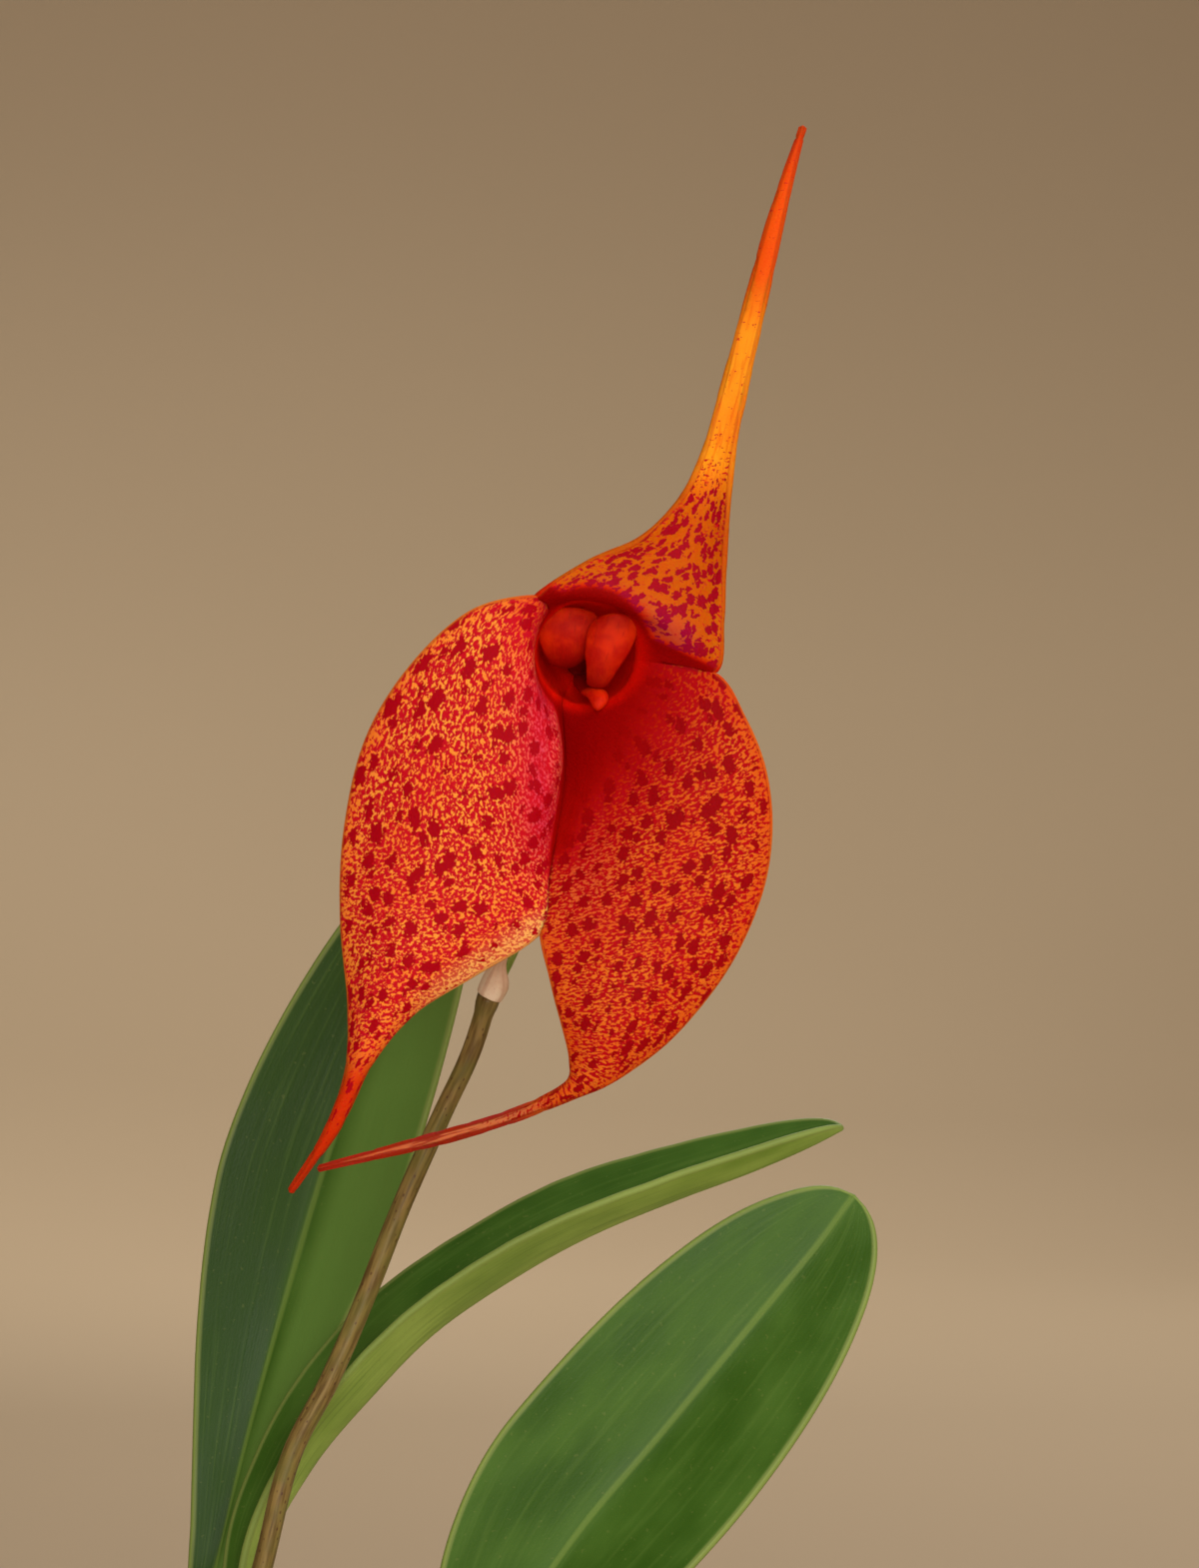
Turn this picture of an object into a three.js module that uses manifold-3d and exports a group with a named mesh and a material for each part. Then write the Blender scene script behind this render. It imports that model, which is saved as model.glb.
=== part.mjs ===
// A masdevallia orchid in flower, growing in a plain clay pot.
//
// Millimetres, +Z up. The origin is the middle of the pot's underside, and the flower faces -Y.
// The flower is modelled in a frame of its own (see FLOWER): x to the right, y up, z forwards.
import * as THREE from "three";
import { mergeVertices } from "three/addons/utils/BufferGeometryUtils.js";
import Module from "manifold-3d";

const wasm = await Module();
wasm.setup();

// ---------------------------------------------------------------- driving sizes

const GAP = 0.3; // clearance between pieces that touch

const POT = {
  height: 80,
  rimRadius: 46,
  rimBand: 16, // height of the thick band round the rim
  footRadius: 31,
  wall: 4.5,
  floor: 6,
  drainRadius: 4,
  drainRing: 17, // distance of the drain holes from the middle
  drains: 4,
  segments: 32,
};

const MIX_TOP = 68.5; // level of the mix between its loose chips
const CHIP = { count: 34, length: 14, width: 9.5, height: 4.6 };

const RHIZOME = {
  radius: 2.2,
  path: [[-25.5, 9.5, 67.5], [-20, 8, 68.2], [-10, 5, 68.3], [0, 4.4, 68.2], [8, 6, 68.2], [13.5, 8.5, 67.3]],
};
const ROOT_RADIUS = [1.15, 0.6]; // at the rhizome, and at the tip
const ROOTS = [
  [[-23.5, 9, 68], [-26, 5, 68.6], [-27.5, 0.5, 66], [-27, -2, 56], [-24, -3, 42]],
  [[-16, 6.9, 68.6], [-15.5, 12, 69.6], [-14, 16.5, 67], [-12.5, 18.5, 56], [-13, 19, 44]],
  [[-5, 4.4, 68.7], [-3.5, -0.5, 69.7], [-2.5, -6, 67], [-3, -9, 56], [-5, -11, 38]],
  [[3, 4.7, 68.4], [4, 10, 69.4], [6, 15, 66.5], [8, 17, 55], [8.5, 18, 40]],
  [[11, 7, 67.9], [16, 5.5, 68.8], [20.5, 2.5, 66], [22, 0.5, 55], [21, -1, 43]],
];

// Leaves. `midrib` runs from the foot of the stalk to the tip. `facing` is the way the upper face
// looks, at the foot and at the tip. `fold` is how far each half is raised, in degrees.
const STALK_RADIUS = 1.25;
const LEAVES = {
  leaf_left: {
    midrib: [[-20, 8, 71], [-19.6, 9, 90], [-17.4, 13.6, 114], [-12.8, 21, 137.4], [-7, 25, 160],
      [0.4, 27, 184.7], [9.4, 28.5, 207.6], [17.6, 30, 223.2]],
    facing: [[-0.6, -1, 0.1], [-0.08, -1, 0.1]],
    fold: [48, 15],
    halfWidth: 12.6,
    shape: { stalkEnd: 0.26, widest: 0.7, tipStart: 0.66, tipPower: 1.7, tipRound: 0.75 },
    thickness: 1.2,
  },
  leaf_arching: {
    midrib: [[-10, 5, 71], [-11.2, 5, 92], [-11.1, 6, 113], [-9, 8, 132.3], [-3.4, 9.6, 143.8],
      [4.5, 10, 153.3], [11.9, 10, 160.6], [21.7, 10, 167.2], [30.2, 10, 171.8], [39.9, 10, 175.8],
      [49, 10, 179.2], [59.3, 10, 183.6]],
    facing: [[-1, -0.35, 0.35], [-0.7, -0.21, 1]],
    fold: [52, 34],
    halfWidth: 9.8,
    shape: { stalkEnd: 0.25, widest: 0.62, tipStart: 0.6, tipPower: 2.25, tipRound: 0.5 },
    thickness: 1.2,
  },
  leaf_right: {
    midrib: [[8, 6, 71], [8.5, 6, 85], [11.4, 6.3, 100.5], [16.6, 6.8, 115.5], [22.6, 7.1, 127.6],
      [29.2, 7.8, 137.2], [38.3, 9.4, 147.8], [50, 12, 161.6], [56.6, 13.3, 169.4], [60.9, 14, 175.2]],
    facing: [[-0.3, -1, 0.15], [-0.1, -1, 0.2]],
    fold: [46, 13],
    halfWidth: 15,
    shape: { stalkEnd: 0.2, widest: 0.62, tipStart: 0.62, tipPower: 2.1, tipRound: 0.5 },
    thickness: 1.3,
  },
};
const LEAF_ROWS = 24;
const LEAF_COLUMNS = 8;

// Papery sheaths round the leaf stalks: how high each one reaches above the mix.
const SHEATH = { clearance: 0.45, wall: 0.7, heights: { left: 26, arching: 22, right: 17 } };

// Flower stem, from its foot on the rhizome to the bract below the flower.
const STEM = {
  path: [[-14.6, 6.3, 71], [-15.4, 3.4, 92], [-13.2, 0.4, 114], [-7.8, -1.2, 133.7], [-4.6, -1.5, 146.2],
    [0, -1.8, 155.4], [4, -2, 164.6], [8.1, -2.5, 175], [12.7, -3.5, 185.4], [16.2, -5, 192.9],
    [18.3, -6.4, 199.2]],
  radius: [1.35, 1.15],
};
const STEM_BRACT = { from: 0.3, to: 0.39, wall: 0.65 };

// Ovary and its stalk, from the top of the flower stem round to the back of the flower.
const OVARY = {
  path: [[18.45, -6.5, 199.7], [21.3, -7.6, 205.6], [24.6, -8, 213.5], [27.4, -7.7, 224], [28.8, -7.6, 231.5],
    [29.2, -8.6, 235.8], [29, -11.4, 237.4]],
  stalkRadius: 0.85,
  ovaryRadius: 1.75,
  ribs: 6,
};
const FLORAL_BRACT = { length: 6, bulge: 0.15, thickness: 0.6 };

// The flower's own frame: where its face is, in the frame of the pot.
const FLOWER = new THREE.Vector3(29.9, -28, 238);

// The tube of the calyx, from its foot to the throat.
const TUBE = {
  footDepth: -15.6,
  foot: { x: -1, y: -0.5 },
  throat: { x: -0.15, y: 0.25 },
  radii: [1.9, 3.6, 5.1, 6, 6.35],
  rise: [0, 0.13, 0.4, 0.7, 1], // share of the way from the foot to the throat
};

// The seams where the three sepals join, clockwise. `angle` is where each one lies round the tube,
// `depth` is the depth of the throat's edge there, and `outside` is its way on from the throat to the
// point where its two sepals part: a notch, or the long groove between the two lower sepals.
const SEAMS = {
  upperLeft: { angle: 133, depth: -4.5, outside: [[-5.9, 6.4, -0.5]] },
  upperRight: { angle: -8, depth: -4, outside: [[13.6, -2, 0.2]] },
  lower: {
    angle: -120,
    depth: -8,
    outside: [[-3.1, -10.4, -7.6], [-3.2, -15, -6.6], [-3.9, -20, -5.2], [-4.6, -25, -3.2], [-5.3, -30.3, -1]],
  },
};

// Each sepal is lofted through stations that lie across it. Station 0 is the throat. `left` and
// `right` are its free edges as seen from the front with its tail upwards, from where it parts from
// its neighbour to the tip of the tail. `crown` is how far the middle of each station stands out
// from the line between its ends. As far as the groove runs, the depth goes over to the other edge's
// near `steepEnd` (0 left, 1 right), within `slopeReach` of the width.
const SEPALS = {
  upper: {
    seams: ["upperLeft", "upperRight"],
    left: [[0, 10.3, 0.2], [5.5, 12.7, 0.3], [9.9, 17, 0], [12.2, 21.4, -0.5], [14.1, 28.1, -1.4],
      [17.2, 39.3, -3.3], [20.5, 50.7, -6.5], [23.5, 59.3, -10]],
    right: [[14.6, 3.8, 0.7], [14.8, 9.6, 0.6], [15.2, 15.6, 0], [15.8, 21.4, -0.7], [17.1, 28, -1.4],
      [19.6, 39.2, -3.3], [22.1, 50.6, -6.5], [24.2, 59.2, -10]],
    crown: [-0.4, -1.2, -1.6, -1.3, -0.8, -0.4],
    steepEnd: 0,
    slopeReach: 1,
    slopePower: 1,
    columns: 8,
    crowding: 1,
  },
  lowerRight: {
    seams: ["upperRight", "lower"],
    left: [[17, -7, 0.4], [19.3, -13, 0.1], [19.9, -20, -0.7], [18.6, -27, -1.4], [15, -34.6, -1.6],
      [9.3, -41.7, -1], [2.9, -46.6, -0.3], [-2.6, -49.1, -0.2], [-10, -52.1, -2.9], [-19.2, -54.9, -6.6],
      [-30.4, -57.6, -11]],
    right: [[-4.2, -35.5, 0.2], [-2.9, -40.5, 0.6], [-2, -44.6, 0.4], [-2.9, -47.4, 0], [-9.6, -50.6, -2.7],
      [-18.9, -53.5, -6.4], [-30.2, -56.9, -11]],
    crown: [0, 0.5, 1, 1.5, 2, 2.4, 2.2, 1.1, 0.25],
    steepEnd: 1,
    slopeReach: 0.9,
    slopePower: 1.7,
    columns: 10,
    crowding: 1,
  },
  lowerLeft: {
    seams: ["lower", "upperLeft"],
    left: [[-12.7, -35.2, -0.6], [-19.2, -39.3, -0.9], [-23.8, -44.6, -1.1], [-27.3, -51.6, -1.6],
      [-32.8, -59.5, -4.5]],
    right: [[-13, 4.7, 0.3], [-19.6, -1.3, 0], [-24.5, -9.3, -1], [-26.9, -19.3, -1.8], [-27.3, -29.2, -2],
      [-26.6, -39.1, -1.5], [-26.9, -45.7, -1.2], [-29.2, -52.4, -1.6], [-33.4, -59.1, -4.5]],
    crown: [0.3, 1.2, 2.4, 3.2, 3.4, 2.8, 1.7, 0.7, 0.2],
    steepEnd: 0,
    slopeReach: 0.07,
    slopePower: 2,
    columns: 12,
    crowding: 1.8,
  },
};
const THROAT_ROUND = [1, 0.8, 0.4, 0.15]; // how much of the throat's round each station keeps
const SEPAL_THICKNESS = 0.75;
const TAIL_THICKNESS = 1.3;
const TAIL_STATIONS = 3; // the last stations, which are all tail
const LIMB_ROWS = 3; // rows of facets to a station on the sepals' limbs
const TAIL_ROWS = 2; // and on their tails

// The small inner pieces, in the flower's frame: [x, y, z] down the middle, with half widths.
const COLUMN = {
  path: [[-1, -0.5, -15.9], [-0.9, -0.1, -13.5], [-0.4, 0.7, -11], [0, 1.6, -8.8], [0.1, 1.8, -7.4]],
  radii: [1.2, 0.85, 0.75, 0.85, 0.6],
};
const PETAL = {
  left: [[-2.8, 0, -13.6], [-2.9, -0.5, -10.4], [-2.6, -0.7, -7.8], [-2.4, 0.6, -5.6], [-2.2, 2.4, -4.8],
    [-1.8, 4.3, -4.8]],
  right: [[1.1, -0.6, -13.6], [1.9, -1.4, -10.4], [2.1, -1.9, -7.4], [2.1, -1.1, -4.7], [2.2, 0.9, -3.6],
    [2.5, 3.5, -3.6]],
  halfWidths: [0.7, 0.9, 1.1, 1.4, 1.9, 2.35, 2.55, 2.5, 1.7],
  thickness: 1,
};
const LIP = {
  path: [[-0.8, -2.2, -13.5], [-0.4, -2.8, -11], [0.2, -3.1, -8.4], [0.6, -3.1, -6.4], [0.8, -3.7, -4.9],
    [1, -4.6, -4.3]],
  halfWidths: [0.8, 1, 1.1, 1.3, 1.6, 1.75, 1.5, 0.5],
  thickness: 1,
};

// ---------------------------------------------------------------- shared helpers

const vec = ([x, y, z]) => new THREE.Vector3(x, y, z);
const mix = THREE.MathUtils.lerp;
const smooth = (x, from, to) => THREE.MathUtils.smoothstep(x, from, to);
const radians = THREE.MathUtils.degToRad;

// A seeded source of numbers from 0 to 1, so that every build scatters the bark alike.
function seeded(seed) {
  let state = seed;
  return () => {
    state = (state * 1664525 + 1013904223) % 4294967296;
    return state / 4294967296;
  };
}

// The smooth curve through `points`, read at a station: 1.5 is half way from the second to the third.
function throughStations(points) {
  const curve = new THREE.CatmullRomCurve3(points, false, "catmullrom", 0.5);
  return (station) => curve.getPoint(station / (points.length - 1));
}

// The value at `share` (0 to 1) of the way along a list of numbers.
function along(values, share) {
  const place = share * (values.length - 1);
  const index = Math.min(Math.floor(place), values.length - 2);
  return mix(values[index], values[index + 1], place - index);
}

function geometryOf(positions, triangles) {
  const geometry = new THREE.BufferGeometry();
  geometry.setAttribute("position", new THREE.Float32BufferAttribute(positions, 3));
  geometry.setIndex(triangles);
  return geometry;
}

// The same surface with no normals, so that vertices in one place merge into one.
function welded(geometry) {
  const bare = new THREE.BufferGeometry();
  bare.setAttribute("position", geometry.getAttribute("position"));
  bare.setIndex(geometry.index);
  return mergeVertices(bare, 1e-4);
}

function solidOf(geometry) {
  const merged = welded(geometry);
  const corners = Array.from(merged.index.array);
  const triVerts = [];
  for (let i = 0; i < corners.length; i += 3) {
    const [a, b, c] = corners.slice(i, i + 3);
    if (a !== b && b !== c && c !== a) triVerts.push(a, b, c);
  }
  const vertProperties = merged.attributes.position.array;
  return new wasm.Manifold(new wasm.Mesh({ numProp: 3, vertProperties, triVerts: new Uint32Array(triVerts) }));
}

function geometryFromSolid(solid) {
  const mesh = solid.getMesh();
  return geometryOf(Array.from(mesh.vertProperties), Array.from(mesh.triVerts));
}

const largestBody = (solid) => solid.decompose().sort((a, b) => b.volume() - a.volume())[0];

// ---------------------------------------------------------------- sheets with a thickness

// Gathers patches of a curved surface into one sheet, joining vertices that fall together, and gives
// it thickness: a front, a back with the same triangles, and a wall along every free edge.
class Sheet {
  constructor() {
    this.points = [];
    this.halves = []; // half the thickness at each point
    this.triangles = [];
    this.found = new Map();
  }

  point(place, half) {
    const key = [place.x, place.y, place.z].map((value) => value.toFixed(3)).join();
    if (!this.found.has(key)) {
      this.found.set(key, this.points.length);
      this.points.push(place);
      this.halves.push(half);
    }
    return this.found.get(key);
  }

  triangle(a, b, c) {
    if (a !== b && b !== c && c !== a) this.triangles.push([a, b, c]);
  }

  // Adds a grid of rows. The front is the side from which each row runs to the right and the next
  // row lies above it. Every four points are split along their shorter diagonal.
  patch(rows) {
    for (let i = 0; i + 1 < rows.length; i++)
      for (let j = 0; j + 1 < rows[i].length; j++) {
        const [a, b, c, d] = [rows[i][j], rows[i][j + 1], rows[i + 1][j + 1], rows[i + 1][j]];
        const across = this.points[a].distanceTo(this.points[c]);
        if (across <= this.points[b].distanceTo(this.points[d])) {
          this.triangle(a, b, c);
          this.triangle(a, c, d);
        } else {
          this.triangle(a, b, d);
          this.triangle(b, c, d);
        }
      }
  }

  normals() {
    const sums = this.points.map(() => new THREE.Vector3());
    for (const corners of this.triangles) {
      const [a, b, c] = corners.map((index) => this.points[index]);
      const face = b.clone().sub(a).cross(c.clone().sub(a));
      for (const index of corners) sums[index].add(face);
    }
    return sums.map((sum) => sum.normalize());
  }

  thicken() {
    const normals = this.normals();
    const count = this.points.length;
    const positions = [];
    for (const side of [1, -1])
      this.points.forEach((place, index) => {
        positions.push(...place.clone().addScaledVector(normals[index], side * this.halves[index]));
      });
    const faces = [];
    const edges = new Map();
    for (const [a, b, c] of this.triangles) {
      faces.push(a, b, c, a + count, c + count, b + count);
      for (const [from, to] of [[a, b], [b, c], [c, a]]) edges.set(from + ">" + to, [from, to]);
    }
    for (const [from, to] of edges.values())
      if (!edges.has(to + ">" + from)) faces.push(to, from, from + count, to, from + count, to + count);
    return geometryOf(positions, faces);
  }
}

// A closed tube along a curve, round or ribbed, with flat ends. radiusAt gets the share of the way
// along, and the angle round the tube.
function tubeAlong(curve, radiusAt, sides, steps) {
  const frames = curve.computeFrenetFrames(steps, false);
  const positions = [];
  const triangles = [];
  for (let i = 0; i <= steps; i++) {
    const centre = curve.getPointAt(i / steps);
    for (let j = 0; j < sides; j++) {
      const angle = (2 * Math.PI * j) / sides;
      const radius = radiusAt(i / steps, angle);
      const place = centre
        .clone()
        .addScaledVector(frames.normals[i], radius * Math.cos(angle))
        .addScaledVector(frames.binormals[i], radius * Math.sin(angle));
      positions.push(...place);
    }
  }
  for (let i = 0; i < steps; i++)
    for (let j = 0; j < sides; j++) {
      const [a, b] = [i * sides + j, i * sides + ((j + 1) % sides)];
      triangles.push(a, b, b + sides, a, b + sides, a + sides);
    }
  const [first, last] = [positions.length / 3, positions.length / 3 + 1];
  positions.push(...curve.getPointAt(0), ...curve.getPointAt(1));
  for (let j = 0; j < sides; j++) {
    const next = (j + 1) % sides;
    triangles.push(first, next, j, last, steps * sides + j, steps * sides + next);
  }
  return geometryOf(positions, triangles);
}

const curveOf = (points) => new THREE.CatmullRomCurve3(points.map(vec), false, "catmullrom", 0.5);

// The upright rod that a stalk needs in the mix: a plain hole is cut with it.
function uprightRod(x, y, radius, low, high) {
  const rod = new THREE.CylinderGeometry(radius, radius, high - low, 20);
  rod.rotateX(Math.PI / 2);
  rod.translate(x, y, (low + high) / 2);
  return solidOf(rod);
}

// ---------------------------------------------------------------- pot

const innerRadius = (z) => mix(POT.footRadius, POT.rimRadius - 3.5, z / (POT.height - POT.rimBand)) - POT.wall;

function potGeometry() {
  const bandFoot = POT.height - POT.rimBand;
  const bodyTop = POT.rimRadius - 3.5;
  const profile = [
    [0, 0], [POT.footRadius - 1.2, 0], [POT.footRadius, 1.2], [bodyTop, bandFoot - 0.8],
    [POT.rimRadius - 0.8, bandFoot], [POT.rimRadius, bandFoot + 1], [POT.rimRadius, POT.height - 1.5],
    [POT.rimRadius - 1.5, POT.height], [POT.rimRadius - POT.wall + 1, POT.height],
    [POT.rimRadius - POT.wall, POT.height - 1.2], [innerRadius(bandFoot), bandFoot],
    [innerRadius(POT.floor + 1.5), POT.floor + 1.5], [innerRadius(POT.floor) - 1.5, POT.floor], [0, POT.floor],
  ].map(([radius, z]) => new THREE.Vector2(radius, z));
  const shell = new THREE.LatheGeometry(profile, POT.segments).rotateX(Math.PI / 2);
  let pot = solidOf(shell);
  for (let k = 0; k < POT.drains; k++) {
    const angle = (2 * Math.PI * (k + 0.5)) / POT.drains;
    const [x, y] = [POT.drainRing * Math.cos(angle), POT.drainRing * Math.sin(angle)];
    pot = pot.subtract(uprightRod(x, y, POT.drainRadius, -1, POT.floor + 1));
  }
  return geometryFromSolid(pot);
}

// ---------------------------------------------------------------- bark mix, rhizome and roots

const endTaper = (share) => Math.sqrt(Math.max(0.15, 1 - Math.abs(2 * share - 1) ** 6));

// The path with its two ends drawn out by `by`.
function lengthened(path, by) {
  const points = path.map(vec);
  const out = (end, next) => end.clone().addScaledVector(end.clone().sub(next).normalize(), by);
  const last = points.length - 1;
  const ends = [out(points[0], points[1]), out(points[last], points[last - 1])];
  return [ends[0], ...points.slice(1, last), ends[1]].map((point) => point.toArray());
}

// The rhizome and its roots, made bigger all round by `grow` for the hollow that they lie in.
function rhizomeSolid(grow) {
  const knuckles = (share) => 1 + 0.1 * Math.cos(share * Math.PI * 14);
  const rhizomeRadius = (share) => RHIZOME.radius * knuckles(share) * endTaper(share) + grow;
  let solid = solidOf(tubeAlong(curveOf(lengthened(RHIZOME.path, grow)), rhizomeRadius, 8, 18));
  for (const path of ROOTS) {
    const radiusAt = (share) => along(ROOT_RADIUS, share) + grow;
    solid = solid.add(solidOf(tubeAlong(curveOf(lengthened(path, grow)), radiusAt, 6, 8)));
  }
  return solid;
}

// One chip of bark: a block with its corners knocked about.
function chipGeometry(random) {
  const box = welded(new THREE.BoxGeometry(1, 1, 1));
  const places = box.attributes.position;
  const size = 0.75 + 0.5 * random();
  for (let i = 0; i < places.count; i++)
    places.setXYZ(
      i,
      places.getX(i) * size * CHIP.length * (0.85 + 0.3 * random()),
      places.getY(i) * size * CHIP.width * (0.8 + 0.4 * random()),
      places.getZ(i) * CHIP.height * (0.75 + 0.5 * random()),
    );
  return box;
}

function barkMixGeometry() {
  const random = seeded(7);
  const insideProfile = [
    [0, POT.floor + GAP], [innerRadius(POT.floor) - 2, POT.floor + GAP],
    [innerRadius(POT.floor + 3) - GAP - 0.1, POT.floor + 3],
    [innerRadius(MIX_TOP - 5) - GAP - 0.1, MIX_TOP - 5],
    [innerRadius(MIX_TOP - 5) - GAP - 0.1, MIX_TOP + 8], [0, MIX_TOP + 8],
  ].map(([radius, z]) => new THREE.Vector2(radius, z));
  const inside = solidOf(new THREE.LatheGeometry(insideProfile, 24).rotateX(Math.PI / 2));
  const above = new THREE.BoxGeometry(120, 120, 40).translate(0, 0, MIX_TOP + 20);
  let mixSolid = inside.subtract(solidOf(above));
  const goldenAngle = Math.PI * (3 - Math.sqrt(5));
  for (let k = 0; k < CHIP.count; k++) {
    const radius = 35 * Math.sqrt((k + 0.5) / CHIP.count);
    const angle = k * goldenAngle;
    const chip = chipGeometry(random);
    chip.rotateX(0.35 * (random() - 0.5));
    chip.rotateY(0.35 * (random() - 0.5));
    chip.rotateZ(2 * Math.PI * random());
    chip.translate(radius * Math.cos(angle), radius * Math.sin(angle), MIX_TOP - 0.3 + 1.4 * random());
    mixSolid = mixSolid.add(solidOf(chip));
  }
  mixSolid = mixSolid.intersect(inside).subtract(rhizomeSolid(GAP + 0.15));
  for (const [x, y] of stalkFeet()) {
    const hole = STALK_RADIUS + SHEATH.clearance + SHEATH.wall + GAP + 0.2;
    mixSolid = mixSolid.subtract(uprightRod(x, y, hole, MIX_TOP - 0.6, MIX_TOP + 12));
  }
  const stemFoot = STEM.path[0];
  mixSolid = mixSolid.subtract(
    uprightRod(stemFoot[0], stemFoot[1], STEM.radius[0] + 2 * GAP, MIX_TOP - 1, MIX_TOP + 12),
  );
  return geometryFromSolid(largestBody(mixSolid));
}

const stalkFeet = () => Object.values(LEAVES).map((leaf) => leaf.midrib[0]);

// ---------------------------------------------------------------- leaves

// Half the width of a leaf at a share of its length: a thin stalk, then the blade, then the tip.
function leafHalfWidth(leaf, share) {
  const { stalkEnd, widest, tipStart, tipPower, tipRound } = leaf.shape;
  const blade = mix(STALK_RADIUS, leaf.halfWidth, smooth(share, stalkEnd, widest));
  const towardTip = Math.max(0, (share - tipStart) / (1 - tipStart));
  return Math.max(0.5, blade * (1 - towardTip ** tipPower) ** tipRound);
}

function leafPoint(leaf, curve, share, across) {
  const centre = curve.getPointAt(share);
  const tangent = curve.getTangentAt(share);
  const facing = vec(leaf.facing[0]).lerp(vec(leaf.facing[1]), share);
  const up = facing.addScaledVector(tangent, -facing.dot(tangent)).normalize();
  const sideways = tangent.clone().cross(up);
  const halfWidth = leafHalfWidth(leaf, share);
  const fold = radians(along(leaf.fold, share)) * smooth(halfWidth, 1.5 * STALK_RADIUS, 3.5 * STALK_RADIUS);
  const raised = Math.sqrt(across ** 2 + 0.02) - Math.sqrt(0.02); // a V with a rounded bottom
  return centre
    .addScaledVector(sideways, halfWidth * across * Math.cos(fold))
    .addScaledVector(up, halfWidth * raised * Math.sin(fold));
}

function leafHalfThickness(leaf, share, across) {
  const round = STALK_RADIUS * Math.sqrt(Math.max(0.06, 1 - across ** 2));
  const blade = (leaf.thickness / 2) * (1.25 - 0.55 * Math.abs(across));
  const halfWidth = leafHalfWidth(leaf, share);
  if (share > leaf.shape.widest) return blade * mix(0.55, 1, smooth(halfWidth, 0.5, 5));
  return mix(round, blade, smooth(halfWidth, STALK_RADIUS, 2.4 * STALK_RADIUS));
}

function leafGeometry(leaf) {
  const curve = curveOf(leaf.midrib);
  const sheet = new Sheet();
  const rows = [];
  for (let i = 0; i <= LEAF_ROWS; i++) {
    const share = 1 - (1 - i / LEAF_ROWS) ** 1.15;
    const row = [];
    for (let j = 0; j <= LEAF_COLUMNS; j++) {
      const across = (2 * j) / LEAF_COLUMNS - 1;
      row.push(sheet.point(leafPoint(leaf, curve, share, across), leafHalfThickness(leaf, share, across)));
    }
    rows.push(row);
  }
  sheet.patch(rows);
  return sheet.thicken();
}

// An open tube round the foot of a leaf stalk, flared and cut slanting at its top.
function sheathGeometry(leaf, height) {
  const curve = curveOf(leaf.midrib);
  const end = height / curve.getLength();
  const sides = 12;
  const steps = 6;
  const sheet = new Sheet();
  const rows = [];
  for (let i = 0; i <= steps; i++) {
    const row = [];
    for (let j = 0; j <= sides; j++) {
      const angle = (2 * Math.PI * (j % sides)) / sides;
      const slant = 1 - 0.18 * (1 + Math.cos(angle)) * (i / steps);
      const share = (end * i * slant) / steps;
      const middle = STALK_RADIUS + SHEATH.clearance + SHEATH.wall / 2 + 0.55 * (i / steps) ** 3;
      const centre = curve.getPointAt(share);
      const place = new THREE.Vector3(middle * Math.cos(angle), middle * Math.sin(angle), 0);
      row.push(sheet.point(place.add(centre), SHEATH.wall / 2));
    }
    rows.push(row);
  }
  sheet.patch(rows);
  return sheet.thicken();
}

// ---------------------------------------------------------------- flower stem, bracts and ovary

function stemGeometry() {
  return tubeAlong(curveOf(STEM.path), (share) => along(STEM.radius, share), 8, 34);
}

// The closed-fitting tubular bract low on the flower stem, with a slanting mouth.
function stemBractGeometry() {
  const curve = curveOf(STEM.path);
  const sides = 10;
  const steps = 5;
  const sheet = new Sheet();
  const rows = [];
  for (let i = 0; i <= steps; i++) {
    const row = [];
    for (let j = 0; j <= sides; j++) {
      const angle = (2 * Math.PI * (j % sides)) / sides;
      const slant = 1 - 0.25 * (1 + Math.cos(angle));
      const share = mix(STEM_BRACT.from, STEM_BRACT.to, (i / steps) * slant);
      const middle = STEM.radius[0] + GAP + STEM_BRACT.wall / 2 + 0.5 * (i / steps) ** 2;
      const place = new THREE.Vector3(middle * Math.cos(angle), middle * Math.sin(angle), 0);
      row.push(sheet.point(place.add(curve.getPointAt(share)), STEM_BRACT.wall / 2));
    }
    rows.push(row);
  }
  sheet.patch(rows);
  return sheet.thicken();
}

function ovaryGeometry() {
  const curve = curveOf(OVARY.path);
  const radiusAt = (share, angle) => {
    const swelling = smooth(share, 0.55, 0.78);
    const ribbed = 1 + 0.07 * swelling * Math.cos(OVARY.ribs * angle);
    return mix(OVARY.stalkRadius, OVARY.ovaryRadius, swelling) * ribbed;
  };
  return tubeAlong(curve, radiusAt, 12, 22);
}

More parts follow.
